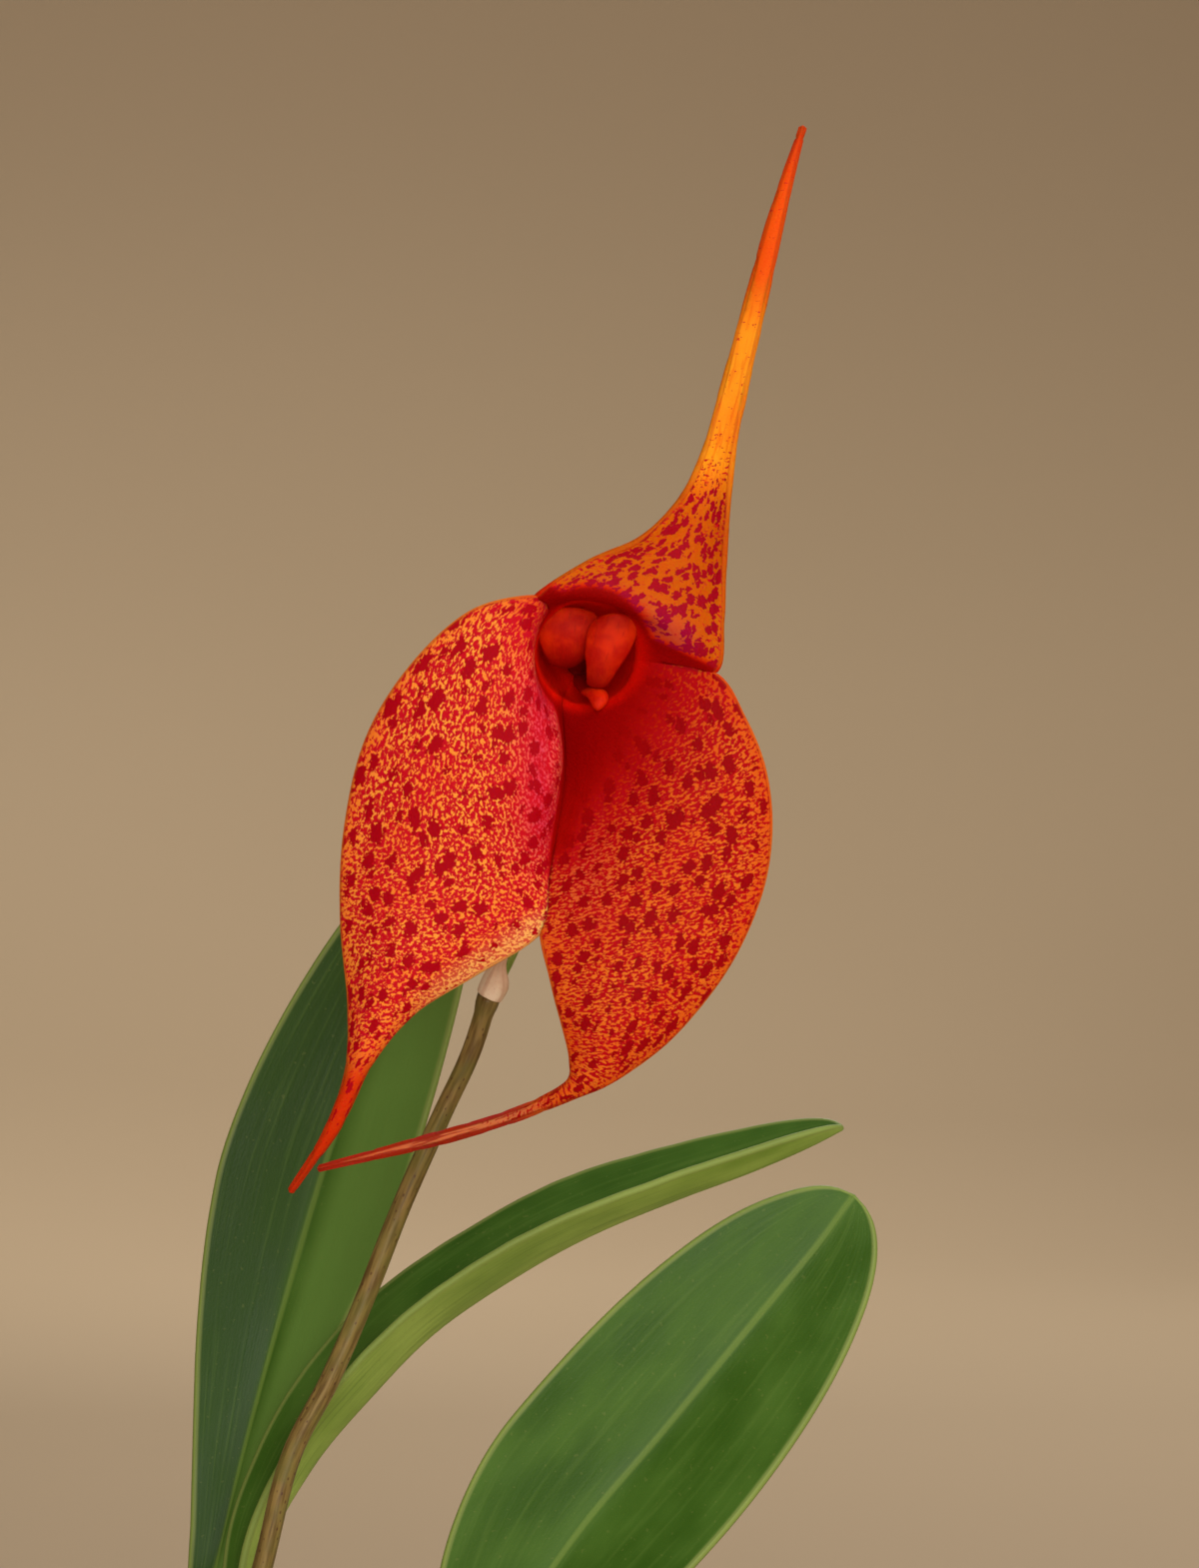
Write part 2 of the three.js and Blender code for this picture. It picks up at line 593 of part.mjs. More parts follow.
// The bract that clasps the foot of the ovary's stalk from below, open towards the flower.
function floralBractGeometry() {
  const stalk = curveOf(OVARY.path);
  const base = stalk.getPointAt(0);
  const direction = stalk.getPointAt(0.12).sub(base).normalize();
  const outward = vec([-0.55, -0.75, 0]);
  outward.addScaledVector(direction, -outward.dot(direction)).normalize();
  const sideways = direction.clone().cross(outward);
  const inside = OVARY.stalkRadius + GAP + FLORAL_BRACT.thickness / 2;
  const sheet = new Sheet();
  const rows = [];
  const steps = 8;
  const columns = 6;
  for (let i = 0; i <= steps; i++) {
    const up = i / steps;
    const centre = base.clone().addScaledVector(direction, up * FLORAL_BRACT.length);
    const radius = inside + FLORAL_BRACT.bulge * Math.sin(up * Math.PI);
    const wrap = Math.PI * mix(0.7, 0.4, up) * Math.sqrt(Math.max(0.02, 1 - up ** 3));
    const row = [];
    for (let j = 0; j <= columns; j++) {
      const angle = wrap * ((2 * j) / columns - 1);
      const place = centre
        .clone()
        .addScaledVector(outward, radius * Math.cos(angle))
        .addScaledVector(sideways, radius * Math.sin(angle));
      row.push(sheet.point(place, FLORAL_BRACT.thickness / 2));
    }
    rows.push(row);
  }
  sheet.patch(rows);
  return sheet.thicken();
}

// ---------------------------------------------------------------- calyx

const LAST_RING = TUBE.radii.length - 1;

// A point of the tube: ring 0 is the foot and the last ring is the throat.
function tubePoint(ring, degrees, throatDepth) {
  const rise = TUBE.rise[ring];
  const radius = TUBE.radii[ring];
  return new THREE.Vector3(
    mix(TUBE.foot.x, TUBE.throat.x, rise) + radius * Math.cos(radians(degrees)),
    mix(TUBE.foot.y, TUBE.throat.y, rise) + radius * Math.sin(radians(degrees)),
    mix(TUBE.footDepth, throatDepth, rise),
  );
}

// The smooth line of a seam, which both of its sepals follow until they part.
function seamLine(seam) {
  const rings = TUBE.radii.map((_, ring) => tubePoint(ring, seam.angle, seam.depth));
  return throughStations([...rings, ...seam.outside.map(vec)]);
}

// How much of the left edge's depth has gone over to the right edge's, at `across` from the left.
function depthShare(sepal, station, across) {
  const groove = SEAMS[sepal.seams[sepal.steepEnd]];
  if (station > groove.outside.length) return across;
  const reach = mix(sepal.slopeReach, Math.max(0.35, sepal.slopeReach), (station / groove.outside.length) ** 2);
  const fromSteepEnd = Math.abs(across - sepal.steepEnd) / reach;
  const share = 1 - Math.max(0, 1 - fromSteepEnd) ** sepal.slopePower;
  return sepal.steepEnd === 0 ? share : 1 - share;
}

// A sepal's point at a whole station from the throat outwards, `across` (0 to 1) from left to right.
function stationPoint(sepal, station, across) {
  const [first, second] = sepal.seams.map((name) => SEAMS[name]);
  const clockwise = (first.angle - second.angle + 360) % 360;
  const degrees = first.angle - clockwise * across;
  const shift = depthShare(sepal, station, across);
  if (station <= 0) return tubePoint(station + LAST_RING, degrees, mix(first.depth, second.depth, shift));
  const left = vec([...first.outside, ...sepal.left][station - 1]);
  const right = vec([...second.outside, ...sepal.right][station - 1]);
  const place = left.clone().lerp(right, across);
  place.z = mix(left.z, right.z, shift) + (sepal.crown[station - 1] ?? 0) * Math.sin(Math.PI * across);
  const arc = tubePoint(LAST_RING, degrees, place.z);
  const chordStart = tubePoint(LAST_RING, first.angle, place.z);
  const chord = chordStart.lerp(tubePoint(LAST_RING, second.angle, place.z), across);
  return place.addScaledVector(arc.sub(chord), THROAT_ROUND[station] ?? 0);
}

// Sepals are thin, and swell into round tails that end in a fine tip.
function sepalHalfThickness(station, lastStation, across) {
  const tail = smooth(station, lastStation - TAIL_STATIONS - 2, lastStation - TAIL_STATIONS);
  const tip = 1 - 0.45 * smooth(station, lastStation - 1.5, lastStation);
  return (mix(SEPAL_THICKNESS, TAIL_THICKNESS, tail) / 2) * tip * (1 - 0.35 * tail * (2 * across - 1) ** 2);
}

function addSepal(sheet, sepal) {
  const seams = sepal.seams.map((name) => SEAMS[name]);
  const lines = seams.map(seamLine);
  const lastStation = seams[0].outside.length + sepal.left.length;
  const tailStart = lastStation - TAIL_STATIONS;
  const columns = [];
  for (let j = 0; j <= sepal.columns; j++) {
    const points = [];
    for (let station = -LAST_RING; station <= lastStation; station++) {
      const crowded = smooth(station, -1, 2) * (1 - smooth(station, tailStart - 4, tailStart));
      const crowding = mix(1, sepal.crowding, crowded);
      points.push(stationPoint(sepal, station, (j / sepal.columns) ** crowding));
    }
    columns.push({ across: j / sepal.columns, line: throughStations(points) });
  }
  const stations = [];
  for (let station = -LAST_RING; station < 0; station++) stations.push(station);
  for (let k = 0; k < tailStart * LIMB_ROWS; k++) stations.push(k / LIMB_ROWS);
  for (let k = 0; k <= TAIL_STATIONS * TAIL_ROWS; k++) stations.push(tailStart + k / TAIL_ROWS);
  const rows = stations.map((station) =>
    columns.map(({ across, line }) => {
      const edge = [0, 1].find((side) => side === across && station <= seams[side].outside.length);
      const place = (edge === undefined ? line : lines[edge])(station + LAST_RING);
      return sheet.point(place, sepalHalfThickness(station, lastStation, across));
    }),
  );
  sheet.patch(rows);
}

function calyxGeometry() {
  const sheet = new Sheet();
  for (const sepal of Object.values(SEPALS)) addSepal(sheet, sepal);
  return sheet.thicken();
}

// ---------------------------------------------------------------- column, petals and lip

function columnGeometry() {
  return tubeAlong(curveOf(COLUMN.path), (share) => along(COLUMN.radii, share), 10, 12);
}

// A small tongue of flesh: `front` is 1 where its face turns upwards along its length, or -1 down.
function tongueGeometry(path, halfWidths, thickness, front) {
  const curve = curveOf(path);
  const sheet = new Sheet();
  const steps = 10;
  const columns = 6;
  const rows = [];
  for (let i = 0; i <= steps; i++) {
    const share = 1 - (1 - i / steps) ** 1.3;
    const row = [];
    for (let j = 0; j <= columns; j++) {
      const across = front * ((2 * j) / columns - 1);
      const place = curve.getPointAt(share);
      const tangent = curve.getTangentAt(share);
      const back = new THREE.Vector3(0, tangent.z, -tangent.y).multiplyScalar(front);
      place.x += along(halfWidths, share) * across;
      place.addScaledVector(back, 0.7 * along(halfWidths, share) * (1 - Math.sqrt(1 - 0.8 * across ** 2)));
      row.push(sheet.point(place, (thickness / 2) * (1 - 0.35 * across ** 2)));
    }
    rows.push(row);
  }
  sheet.patch(rows);
  return sheet.thicken();
}

// ---------------------------------------------------------------- the plant in its pot

function piece(name, geometry, colour, roughness) {
  const material = new THREE.MeshStandardMaterial({ color: colour, roughness, metalness: 0 });
  const mesh = new THREE.Mesh(geometry, material);
  mesh.name = name;
  return mesh;
}

const CLAY = 0xb0623f;
const BARK = 0x5a3a24;
const ROOT = 0xc9bd9a;
const LEAF_GREEN = 0x3d5a1c;
const PAPER = 0xb79f76;
const STEM_BROWN = 0x7a6232;
const BRACT_PINK = 0xd2b197;
const OVARY_GREEN = 0x98945a;
const SEPAL_ORANGE = 0xdd5226;
const PETAL_RED = 0xbd1f06;

const plant = new THREE.Group();
plant.add(piece("pot", potGeometry(), CLAY, 0.85));
plant.add(piece("bark_mix", barkMixGeometry(), BARK, 0.95));
plant.add(piece("rhizome", geometryFromSolid(rhizomeSolid(0)), ROOT, 0.7));
for (const [name, leaf] of Object.entries(LEAVES)) plant.add(piece(name, leafGeometry(leaf), LEAF_GREEN, 0.4));
for (const [side, height] of Object.entries(SHEATH.heights))
  plant.add(piece("sheath_" + side, sheathGeometry(LEAVES["leaf_" + side], height), PAPER, 0.8));
plant.add(piece("flower_stem", stemGeometry(), STEM_BROWN, 0.5));
plant.add(piece("stem_bract", stemBractGeometry(), PAPER, 0.8));
plant.add(piece("floral_bract", floralBractGeometry(), BRACT_PINK, 0.7));
plant.add(piece("ovary_pedicel", ovaryGeometry(), OVARY_GREEN, 0.5));

// The flower's x, y and z are the pot's X, Z and -Y.
const flower = new THREE.Group();
flower.position.copy(FLOWER);
flower.rotation.x = Math.PI / 2;
flower.add(piece("calyx", calyxGeometry(), SEPAL_ORANGE, 0.5));
flower.add(piece("column", columnGeometry(), PETAL_RED, 0.4));
for (const side of ["left", "right"])
  flower.add(
    piece("petal_" + side, tongueGeometry(PETAL[side], PETAL.halfWidths, PETAL.thickness, 1), PETAL_RED, 0.4),
  );
flower.add(piece("lip", tongueGeometry(LIP.path, LIP.halfWidths, LIP.thickness, -1), PETAL_RED, 0.4));
plant.add(flower);

export default plant;
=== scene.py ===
# %% [markdown]
# # A masdevallia orchid in a clay pot
# The CAD model already says where every piece of the plant is and how large it is. This lesson
# loads that model as a fixed frame and dresses it: each piece is built again with far more detail
# by the same rules, and gets a procedural finish. Blender works in metres here, but a flower is
# easier to think about in millimetres, so lengths are in millimetres until a mesh is made.

# %% Load the CAD frame
import math

import bmesh
import bpy
import numpy as np
from mathutils import Matrix, Vector, noise


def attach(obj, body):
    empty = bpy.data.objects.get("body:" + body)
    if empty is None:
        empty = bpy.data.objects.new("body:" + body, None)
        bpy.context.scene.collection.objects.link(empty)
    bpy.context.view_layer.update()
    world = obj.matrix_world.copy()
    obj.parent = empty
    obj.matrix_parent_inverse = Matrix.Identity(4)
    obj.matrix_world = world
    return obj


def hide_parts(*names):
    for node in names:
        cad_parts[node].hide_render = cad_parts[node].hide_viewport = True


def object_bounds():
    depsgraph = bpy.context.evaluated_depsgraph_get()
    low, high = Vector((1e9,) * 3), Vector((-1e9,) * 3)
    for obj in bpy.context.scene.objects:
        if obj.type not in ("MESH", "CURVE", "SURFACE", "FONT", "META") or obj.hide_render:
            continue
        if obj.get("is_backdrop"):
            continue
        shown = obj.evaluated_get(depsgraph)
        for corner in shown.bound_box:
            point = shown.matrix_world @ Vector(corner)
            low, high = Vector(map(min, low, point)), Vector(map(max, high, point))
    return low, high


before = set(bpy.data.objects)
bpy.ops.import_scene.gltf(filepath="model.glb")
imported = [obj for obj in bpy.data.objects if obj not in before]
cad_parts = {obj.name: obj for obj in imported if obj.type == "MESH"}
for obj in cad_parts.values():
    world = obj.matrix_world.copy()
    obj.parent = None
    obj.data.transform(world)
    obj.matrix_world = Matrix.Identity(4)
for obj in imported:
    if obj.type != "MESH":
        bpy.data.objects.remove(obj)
cad_box = [list(corner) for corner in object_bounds()]
MM = 0.001
print("CAD nodes:", len(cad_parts))
print("CAD box in mm:", [[round(value / MM, 1) for value in corner] for corner in cad_box])

# %% [markdown]
# ## Camera
# A flower portrait is taken with a long lens from close by, level with the bloom. The camera looks
# along +Y at the height of the throat, 60 cm in front of the sepals. A long lens keeps the tails
# and the leaves behind them in proportion. The 36 mm side of the sensor is the picture's long
# side, which is upright here.

# %% Make the camera
camera_data = bpy.data.cameras.new("portrait_camera")
camera_data.sensor_fit = "AUTO"
camera_data.sensor_width = 36
camera_data.lens = 125.15
camera_data.clip_start = 0.05
camera_data.clip_end = 20
camera = bpy.data.objects.new("portrait_camera", camera_data)
camera.location = (0.031, -0.628, 0.2238)
camera.rotation_euler = (math.radians(90), 0, 0)
bpy.context.scene.collection.objects.link(camera)
bpy.context.scene.camera = camera
print("camera at", tuple(camera.location), "with a lens of", camera_data.lens, "mm")

# %% [markdown]
# ## Short ways of writing a finish
# A procedural material is a small program made of nodes. Wiring nodes one by one takes many lines,
# so this class adds a node, sets or joins its inputs, and hands back its output. Colours are
# written as the usual 0 to 255 numbers and turned into the linear values that a shader expects.

# %% The finish helper
def rgb(red, green, blue):
    shares = [value / 255 for value in (red, green, blue)]
    linear = [((v + 0.055) / 1.055) ** 2.4 if v > 10 / 255 else v / 12.92 for v in shares]
    return (*linear, 1)


class Finish:
    def __init__(self, name, **shader_values):
        self.material = bpy.data.materials.new(name)
        self.material.use_nodes = True
        self.tree = self.material.node_tree
        self.shader = self.tree.nodes["Principled BSDF"]
        for socket, value in shader_values.items():
            self.shader.inputs[socket.replace("_", " ")].default_value = value

    def set(self, socket, value):
        if isinstance(value, bpy.types.NodeSocket):
            self.tree.links.new(value, socket)
        else:
            socket.default_value = value

    def node(self, kind, inputs, **settings):
        node = self.tree.nodes.new("ShaderNode" + kind)
        for setting, value in settings.items():
            setattr(node, setting, value)
        for key, value in inputs.items():
            self.set(node.inputs[key], value)
        return node

    def attribute(self, name):
        vector = self.node("Attribute", {}, attribute_name=name).outputs["Vector"]
        return self.node("SeparateXYZ", {0: vector}).outputs

    def place(self):
        return self.node("TexCoord", {}).outputs["Object"]

    def join(self, x, y, z):
        return self.node("CombineXYZ", {0: x, 1: y, 2: z}).outputs[0]

    def scaled(self, vector, scale):
        return self.node("VectorMath", {0: vector, 1: scale}, operation="MULTIPLY").outputs[0]

    def math(self, operation, a, b=0.0, c=0.0):
        return self.node("Math", {0: a, 1: b, 2: c}, operation=operation).outputs[0]

    def times(self, a, b):
        return self.math("MULTIPLY", a, b)

    def soft(self, value, low, high, start=0.0, end=1.0):
        inputs = {"Value": value, "From Min": low, "From Max": high, "To Min": start, "To Max": end}
        return self.node("MapRange", inputs, interpolation_type="SMOOTHSTEP").outputs[0]

    def mix(self, share, a, b, blend="MIX"):
        settings = {"data_type": "RGBA", "blend_type": blend}
        return self.node("Mix", {0: share, 6: a, 7: b}, **settings).outputs[2]

    def noise(self, vector, scale, detail=2.0, roughness=0.5, distortion=0.0):
        inputs = {"Vector": vector, "Scale": scale, "Detail": detail, "Roughness": roughness}
        return self.node("TexNoise", {**inputs, "Distortion": distortion}).outputs["Fac"]

    def cells(self, vector, scale, output="Distance", **settings):
        return self.node("TexVoronoi", {"Vector": vector, "Scale": scale}, **settings).outputs[output]

    def colour(self, value):
        self.set(self.shader.inputs["Base Color"], value)

    def roughness(self, value):
        self.set(self.shader.inputs["Roughness"], value)

    def bump(self, height, distance, strength=1.0):
        inputs = {"Height": height, "Distance": distance * MM, "Strength": strength}
        normal = self.node("Bump", inputs).outputs[0]
        self.set(self.shader.inputs["Normal"], normal)


print("an orange of the sepals in linear values:", [round(v, 3) for v in rgb(226, 110, 20)])

# %% [markdown]
# ## Studio
# The plant stands on a plain pale floor that curves up into a wall far behind it and all round, as
# a photographer's paper sweep does. There is no corner and so no line behind the flower. A profile
# turned round the plant makes all of it, wide enough for a camera to walk right round inside. The
# paper is painted a little deeper in tone higher up and on the floor just behind the pot, a painted
# shade, so the wall is brightest low down and fades towards its top.

# %% Floor and wall in one sweep
FLAT_RADIUS = 1.9
COVE_RADIUS = 1.5
WALL_TOP = 4.0


def sweep_profile():
    profile = [(0.0, 0.0), (0.6, 0.0), (1.2, 0.0), (FLAT_RADIUS, 0.0)]
    for step in range(1, 25):
        angle = math.radians(90 * step / 24)
        profile.append((FLAT_RADIUS + COVE_RADIUS * math.sin(angle), COVE_RADIUS * (1 - math.cos(angle))))
    return profile + [(FLAT_RADIUS + COVE_RADIUS, WALL_TOP)]


def turned(profile, sides):
    """The vertices and faces of a profile of (radius, height) turned round the Z axis."""
    points, rings = [], []
    for radius, height in profile:
        if radius < 1e-9:
            rings.append([len(points)] * sides)
            points.append((0, 0, height))
            continue
        rings.append(list(range(len(points), len(points) + sides)))
        for k in range(sides):
            angle = 2 * math.pi * k / sides
            points.append((radius * math.cos(angle), radius * math.sin(angle), height))
    faces = []
    for low, high in zip(rings, rings[1:]):
        for k in range(sides):
            corners = [low[k], low[(k + 1) % sides], high[(k + 1) % sides], high[k]]
            faces.append(list(dict.fromkeys(corners)))
    return points, faces


sweep_points, sweep_faces = turned(sweep_profile(), 96)
sweep_mesh = bpy.data.meshes.new("studio_sweep")
sweep_mesh.from_pydata(sweep_points, [], [face[::-1] for face in sweep_faces])
sweep_mesh.polygons.foreach_set("use_smooth", [True] * len(sweep_mesh.polygons))
sweep = bpy.data.objects.new("studio_sweep", sweep_mesh)
bpy.context.scene.collection.objects.link(sweep)
paper = Finish("pale_sweep_paper", Roughness=0.9, Specular_IOR_Level=0.1)
paper_tone = paper.noise(paper.place(), 1.3, 1.0)
_, paper_depth, paper_height = paper.node("SeparateXYZ", {0: paper.place()}).outputs
pale_paper = paper.mix(paper.soft(paper_tone, 0.3, 0.7), rgb(202, 181, 151), rgb(208, 187, 157))
# Painted shade: the paper is darker on the floor just behind the pot and towards the top of the wall.
painted_shade_paper = rgb(188, 167, 139)
painted_shade_behind_pot = paper.times(paper.soft(paper_depth, 1.7, 0.95, 0.0, 0.65), paper.soft(paper_depth, 0.3, 0.7))
pale_paper = paper.mix(painted_shade_behind_pot, pale_paper, painted_shade_paper)
paper.colour(paper.mix(paper.soft(paper_height, 0.25, 0.8), pale_paper, painted_shade_paper))
sweep_mesh.materials.append(paper.material)
sweep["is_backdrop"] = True
print("sweep faces:", len(sweep_mesh.polygons))

# %% [markdown]
# ## Lights
# A soft box is a glowing disc here: the larger it is, the softer its shadows are. The main one is at
# the upper right and rounds the shoulders of the sepals. A weaker one in front looks into the
# throat, and one behind shines through the thin tissue. The last one is close to the foot of the
# wall and lights that and the floor before it, so that no line shows between the two. The world
# adds a dim, warm light from all sides, which fills the shadows.

# %% Lights
LOOK_AT = Vector((0.03, -0.02, 0.22))


def soft_box(name, place, towards, size, power, colour):
    light = bpy.data.lights.new(name, "AREA")
    light.shape = "DISK"
    light.size = size
    light.energy = power
    light.color = colour
    box = bpy.data.objects.new(name, light)
    box.location = place
    box.rotation_euler = (Vector(towards) - Vector(place)).to_track_quat("-Z", "Y").to_euler()
    box.visible_camera = False
    bpy.context.scene.collection.objects.link(box)


soft_box("key_light", (0.7, -0.95, 0.95), LOOK_AT, size=0.8, power=9, colour=(1.0, 0.97, 0.93))
soft_box("front_light", (0.05, -1.25, 0.4), LOOK_AT, size=0.6, power=8, colour=(1.0, 0.97, 0.94))
soft_box("back_light", (0.3, 1.5, 1.2), LOOK_AT, size=1.0, power=10, colour=(1.0, 0.97, 0.93))
FOOT_OF_WALL = (-0.2, 2.8, 0.3)
soft_box("wall_light", (-0.2, 1.9, 0.9), FOOT_OF_WALL, size=1.0, power=4.9, colour=(1.0, 0.95, 0.88))
world = bpy.data.worlds.new("dim_studio")
world.use_nodes = True
world.node_tree.nodes["Background"].inputs["Color"].default_value = (1.0, 0.93, 0.85, 1)
world.node_tree.nodes["Background"].inputs["Strength"].default_value = 0.35
bpy.context.scene.world = world
bpy.context.scene.view_settings.view_transform = "Standard"

# %% [markdown]
# ## Smooth lines
# Every stalk, leaf, sepal and tail follows a smooth line through a few places. The line is a
# Catmull-Rom curve, the same one that the CAD model uses, so that the fine piece lies exactly
# where the plain solid is. It can be read by station (1.5 is half way from the second place to
# the third) or by the share of its whole length.

# %% Curves and blends
def smooth(value, start, end):
    share = np.clip((value - start) / (end - start), 0, 1)
    return share * share * (3 - 2 * share)


def mix(a, b, share):
    return a + (b - a) * share


def along(values, share):
    return np.interp(share, np.linspace(0, 1, len(values)), values)


def unit(vectors):
    return vectors / np.linalg.norm(vectors, axis=-1, keepdims=True)


class SmoothLine:
    def __init__(self, places):
        places = np.array(places, float)
        ends = [2 * places[0] - places[1], 2 * places[-1] - places[-2]]
        self.knots = np.vstack([ends[0], places, ends[1]])
        self.last = len(places) - 1
        dense = np.linspace(0, self.last, 60 * self.last + 1)
        steps = np.linalg.norm(np.diff(self.at(dense), axis=0), axis=1)
        self.dense = dense
        self.lengths = np.concatenate([[0], np.cumsum(steps)])
        self.length = self.lengths[-1]

    def at(self, station):
        station = np.clip(station, 0, self.last)
        first = np.minimum(np.floor(station).astype(int), self.last - 1)
        t = (station - first)[..., None]
        a, b, c, d = (self.knots[first + k] for k in range(4))
        start, end = (c - a) / 2, (d - b) / 2
        bend = 3 * (c - b) - 2 * start - end
        return b + start * t + bend * t**2 + (2 * (b - c) + start + end) * t**3

    def at_share(self, share):
        return self.at(np.interp(np.asarray(share) * self.length, self.lengths, self.dense))

    def heading(self, share):
        ahead = self.at_share(np.clip(np.asarray(share) + 1e-3, 0, 1))
        return unit(ahead - self.at_share(np.clip(np.asarray(share) - 1e-3, 0, 1)))


print("a bend of three places is", round(SmoothLine([[0, 0, 0], [1, 1, 0], [2, 0, 0]]).length, 2), "long")

# %% [markdown]
# ## Sheets of living tissue
# A leaf, a sepal, a petal and a papery bract are all thin sheets. Each is first laid out as a grid
# of points on its middle surface. The sheet then gets a front and a back, half a thickness either
# side, and a rounded rim along its free edges. Every face corner carries marks, such as the
# distance from the rim in millimetres, which the finish reads later.

# %% The sheet maker
RIM_ANGLES = [45, 0, -45]
RIM_ROUNDNESS = 0.7


class Sheet:
    def __init__(self):
        self.points, self.halves, self.faces, self.marks, self.found = [], [], [], [], {}

    def vertex(self, place, half):
        key = tuple(np.round(place, 3))
        if key not in self.found:
            self.found[key] = len(self.points)
            self.points.append(place)
            self.halves.append(half)
        return self.found[key]

    def grid(self, places, halves, marks):
        """places: rows x columns x 3. halves: rows x columns. marks: rows x columns x any."""
        rows, columns = places.shape[:2]
        index = [[self.vertex(places[i, j], halves[i, j]) for j in range(columns)] for i in range(rows)]
        for i in range(rows - 1):
            for j in range(columns - 1):
                cells = [(i, j), (i, j + 1), (i + 1, j + 1), (i + 1, j)]
                corners = {index[a][b]: marks[a, b] for a, b in cells}
                if len(corners) > 2:
                    self.faces.append(list(corners))
                    self.marks.append(list(corners.values()))

    def normals(self):
        points = np.array(self.points)
        sums = np.zeros_like(points)
        for face in self.faces:
            a, b, c = points[face[0]], points[face[1]], points[face[2]]
            d = points[face[3]] if len(face) == 4 else points[face[0]]
            sums[face] += np.cross(c - a, d - b) if len(face) == 4 else np.cross(b - a, c - a)
        return points, unit(sums)

    def thick(self):
        """The vertices, the faces and the marks of each face corner, with 1, 0 or -1 for the side."""
        points, normals = self.normals()
        halves = np.array(self.halves)[:, None]
        count = len(points)
        faces = [list(face) for face in self.faces]
        faces += [[v + count for v in face[::-1]] for face in self.faces]
        marks = [[(*m, 1) for m in corner] for corner in self.marks]
        marks += [[(*m, -1) for m in corner[::-1]] for corner in self.marks]
        edges = {}
        for face, corner in zip(self.faces, self.marks):
            for k, start in enumerate(face):
                end = (k + 1) % len(face)
                edges[(start, face[end])] = (corner[k], corner[end])
        free = {edge: value for edge, value in edges.items() if edge[::-1] not in edges}
        outward = np.zeros_like(points)
        for start, end in free:
            out = np.cross(points[end] - points[start], normals[start] + normals[end])
            outward[[start, end]] += out
        ring = {vertex: k for k, vertex in enumerate(dict.fromkeys(v for edge in free for v in edge))}
        rim = np.array(list(ring))
        outward = unit(outward[rim])
        vertices = [points + normals * halves, points - normals * halves]
        for angle in RIM_ANGLES:
            rise, out = math.sin(math.radians(angle)), RIM_ROUNDNESS * math.cos(math.radians(angle))
            vertices.append(points[rim] + halves[rim] * (normals[rim] * rise + outward * out))
        for (start, end), (mark_start, mark_end) in free.items():
            columns = []
            for vertex in (start, end):
                rings = [2 * count + k * len(rim) + ring[vertex] for k in range(len(RIM_ANGLES))]
                columns.append([vertex, *rings, vertex + count])
            for k in range(len(RIM_ANGLES) + 1):
                faces.append([columns[1][k], columns[0][k], columns[0][k + 1], columns[1][k + 1]])
                a, b = (*mark_start, 0), (*mark_end, 0)
                marks.append([b, a, a, b])
        return np.vstack(vertices), faces, marks


print("a rim has", len(RIM_ANGLES) + 1, "narrow faces round its edge")

# %% [markdown]
# ## Tubes
# Stems, roots, the ovary and the column are tubes along a smooth line, with a radius that may
# change along the way and round it. Their marks are straightened coordinates: where the point
# would be if the tube were pulled straight. A streaky noise in those coordinates follows the
# stem round its bends.

# %% The tube maker
def carried_frames(line, shares):
    """Two directions across the line at each share, carried along it without twisting."""
    headings = line.heading(shares)
    first = np.cross(headings[0], [0.3, 0.9, 0.1])
    sides = [first / np.linalg.norm(first)]
    for heading in headings[1:]:
        side = sides[-1] - heading * np.dot(sides[-1], heading)
        sides.append(side / np.linalg.norm(side))
    sides = np.array(sides)
    return sides, np.cross(headings, sides)


def tube(line, radius_at, sides, steps):
    """The vertices, faces and marks of a closed tube. radius_at takes the shares and the angles."""
    shares = np.linspace(0, 1, steps + 1)
    angles = 2 * math.pi * np.arange(sides) / sides
    normals, binormals = carried_frames(line, shares)
    radii = radius_at(shares[:, None], angles[None, :]) * np.ones((steps + 1, sides))
    cosine, sine = radii * np.cos(angles), radii * np.sin(angles)
    places = line.at_share(shares)[:, None] + cosine[..., None] * normals[:, None]
    places = (places + sine[..., None] * binormals[:, None]).reshape(-1, 3)
    straight = np.stack([cosine, sine, (shares * line.length)[:, None] * np.ones(sides)], -1).reshape(-1, 3)
    faces = []
    for i in range(steps):
        for j in range(sides):
            a, b = i * sides + j, i * sides + (j + 1) % sides
            faces.append([a, b, b + sides, a + sides])
    tips = len(places)
    places = np.vstack([places, line.at_share(0.0), line.at_share(1.0)])
    straight = np.vstack([straight, [0, 0, 0], [0, 0, line.length]])
    for j in range(sides):
        a, b = j, (j + 1) % sides
        faces.append([tips, b, a])
        faces.append([tips + 1, steps * sides + a, steps * sides + b])
    marks = [[tuple(straight[v]) for v in face] for face in faces]
    return places, faces, marks


straight_tube = tube(SmoothLine([[0, 0, 0], [0, 0, 9]]), lambda shares, angles: 1.0, sides=8, steps=4)
print("a straight tube of 8 sides and 4 steps has", len(straight_tube[1]), "faces")

# %% [markdown]
# ## Pieces
# Each piece of the plant becomes one mesh. Its marks go into attributes of the mesh's corners,
# where a finish can read them by name.

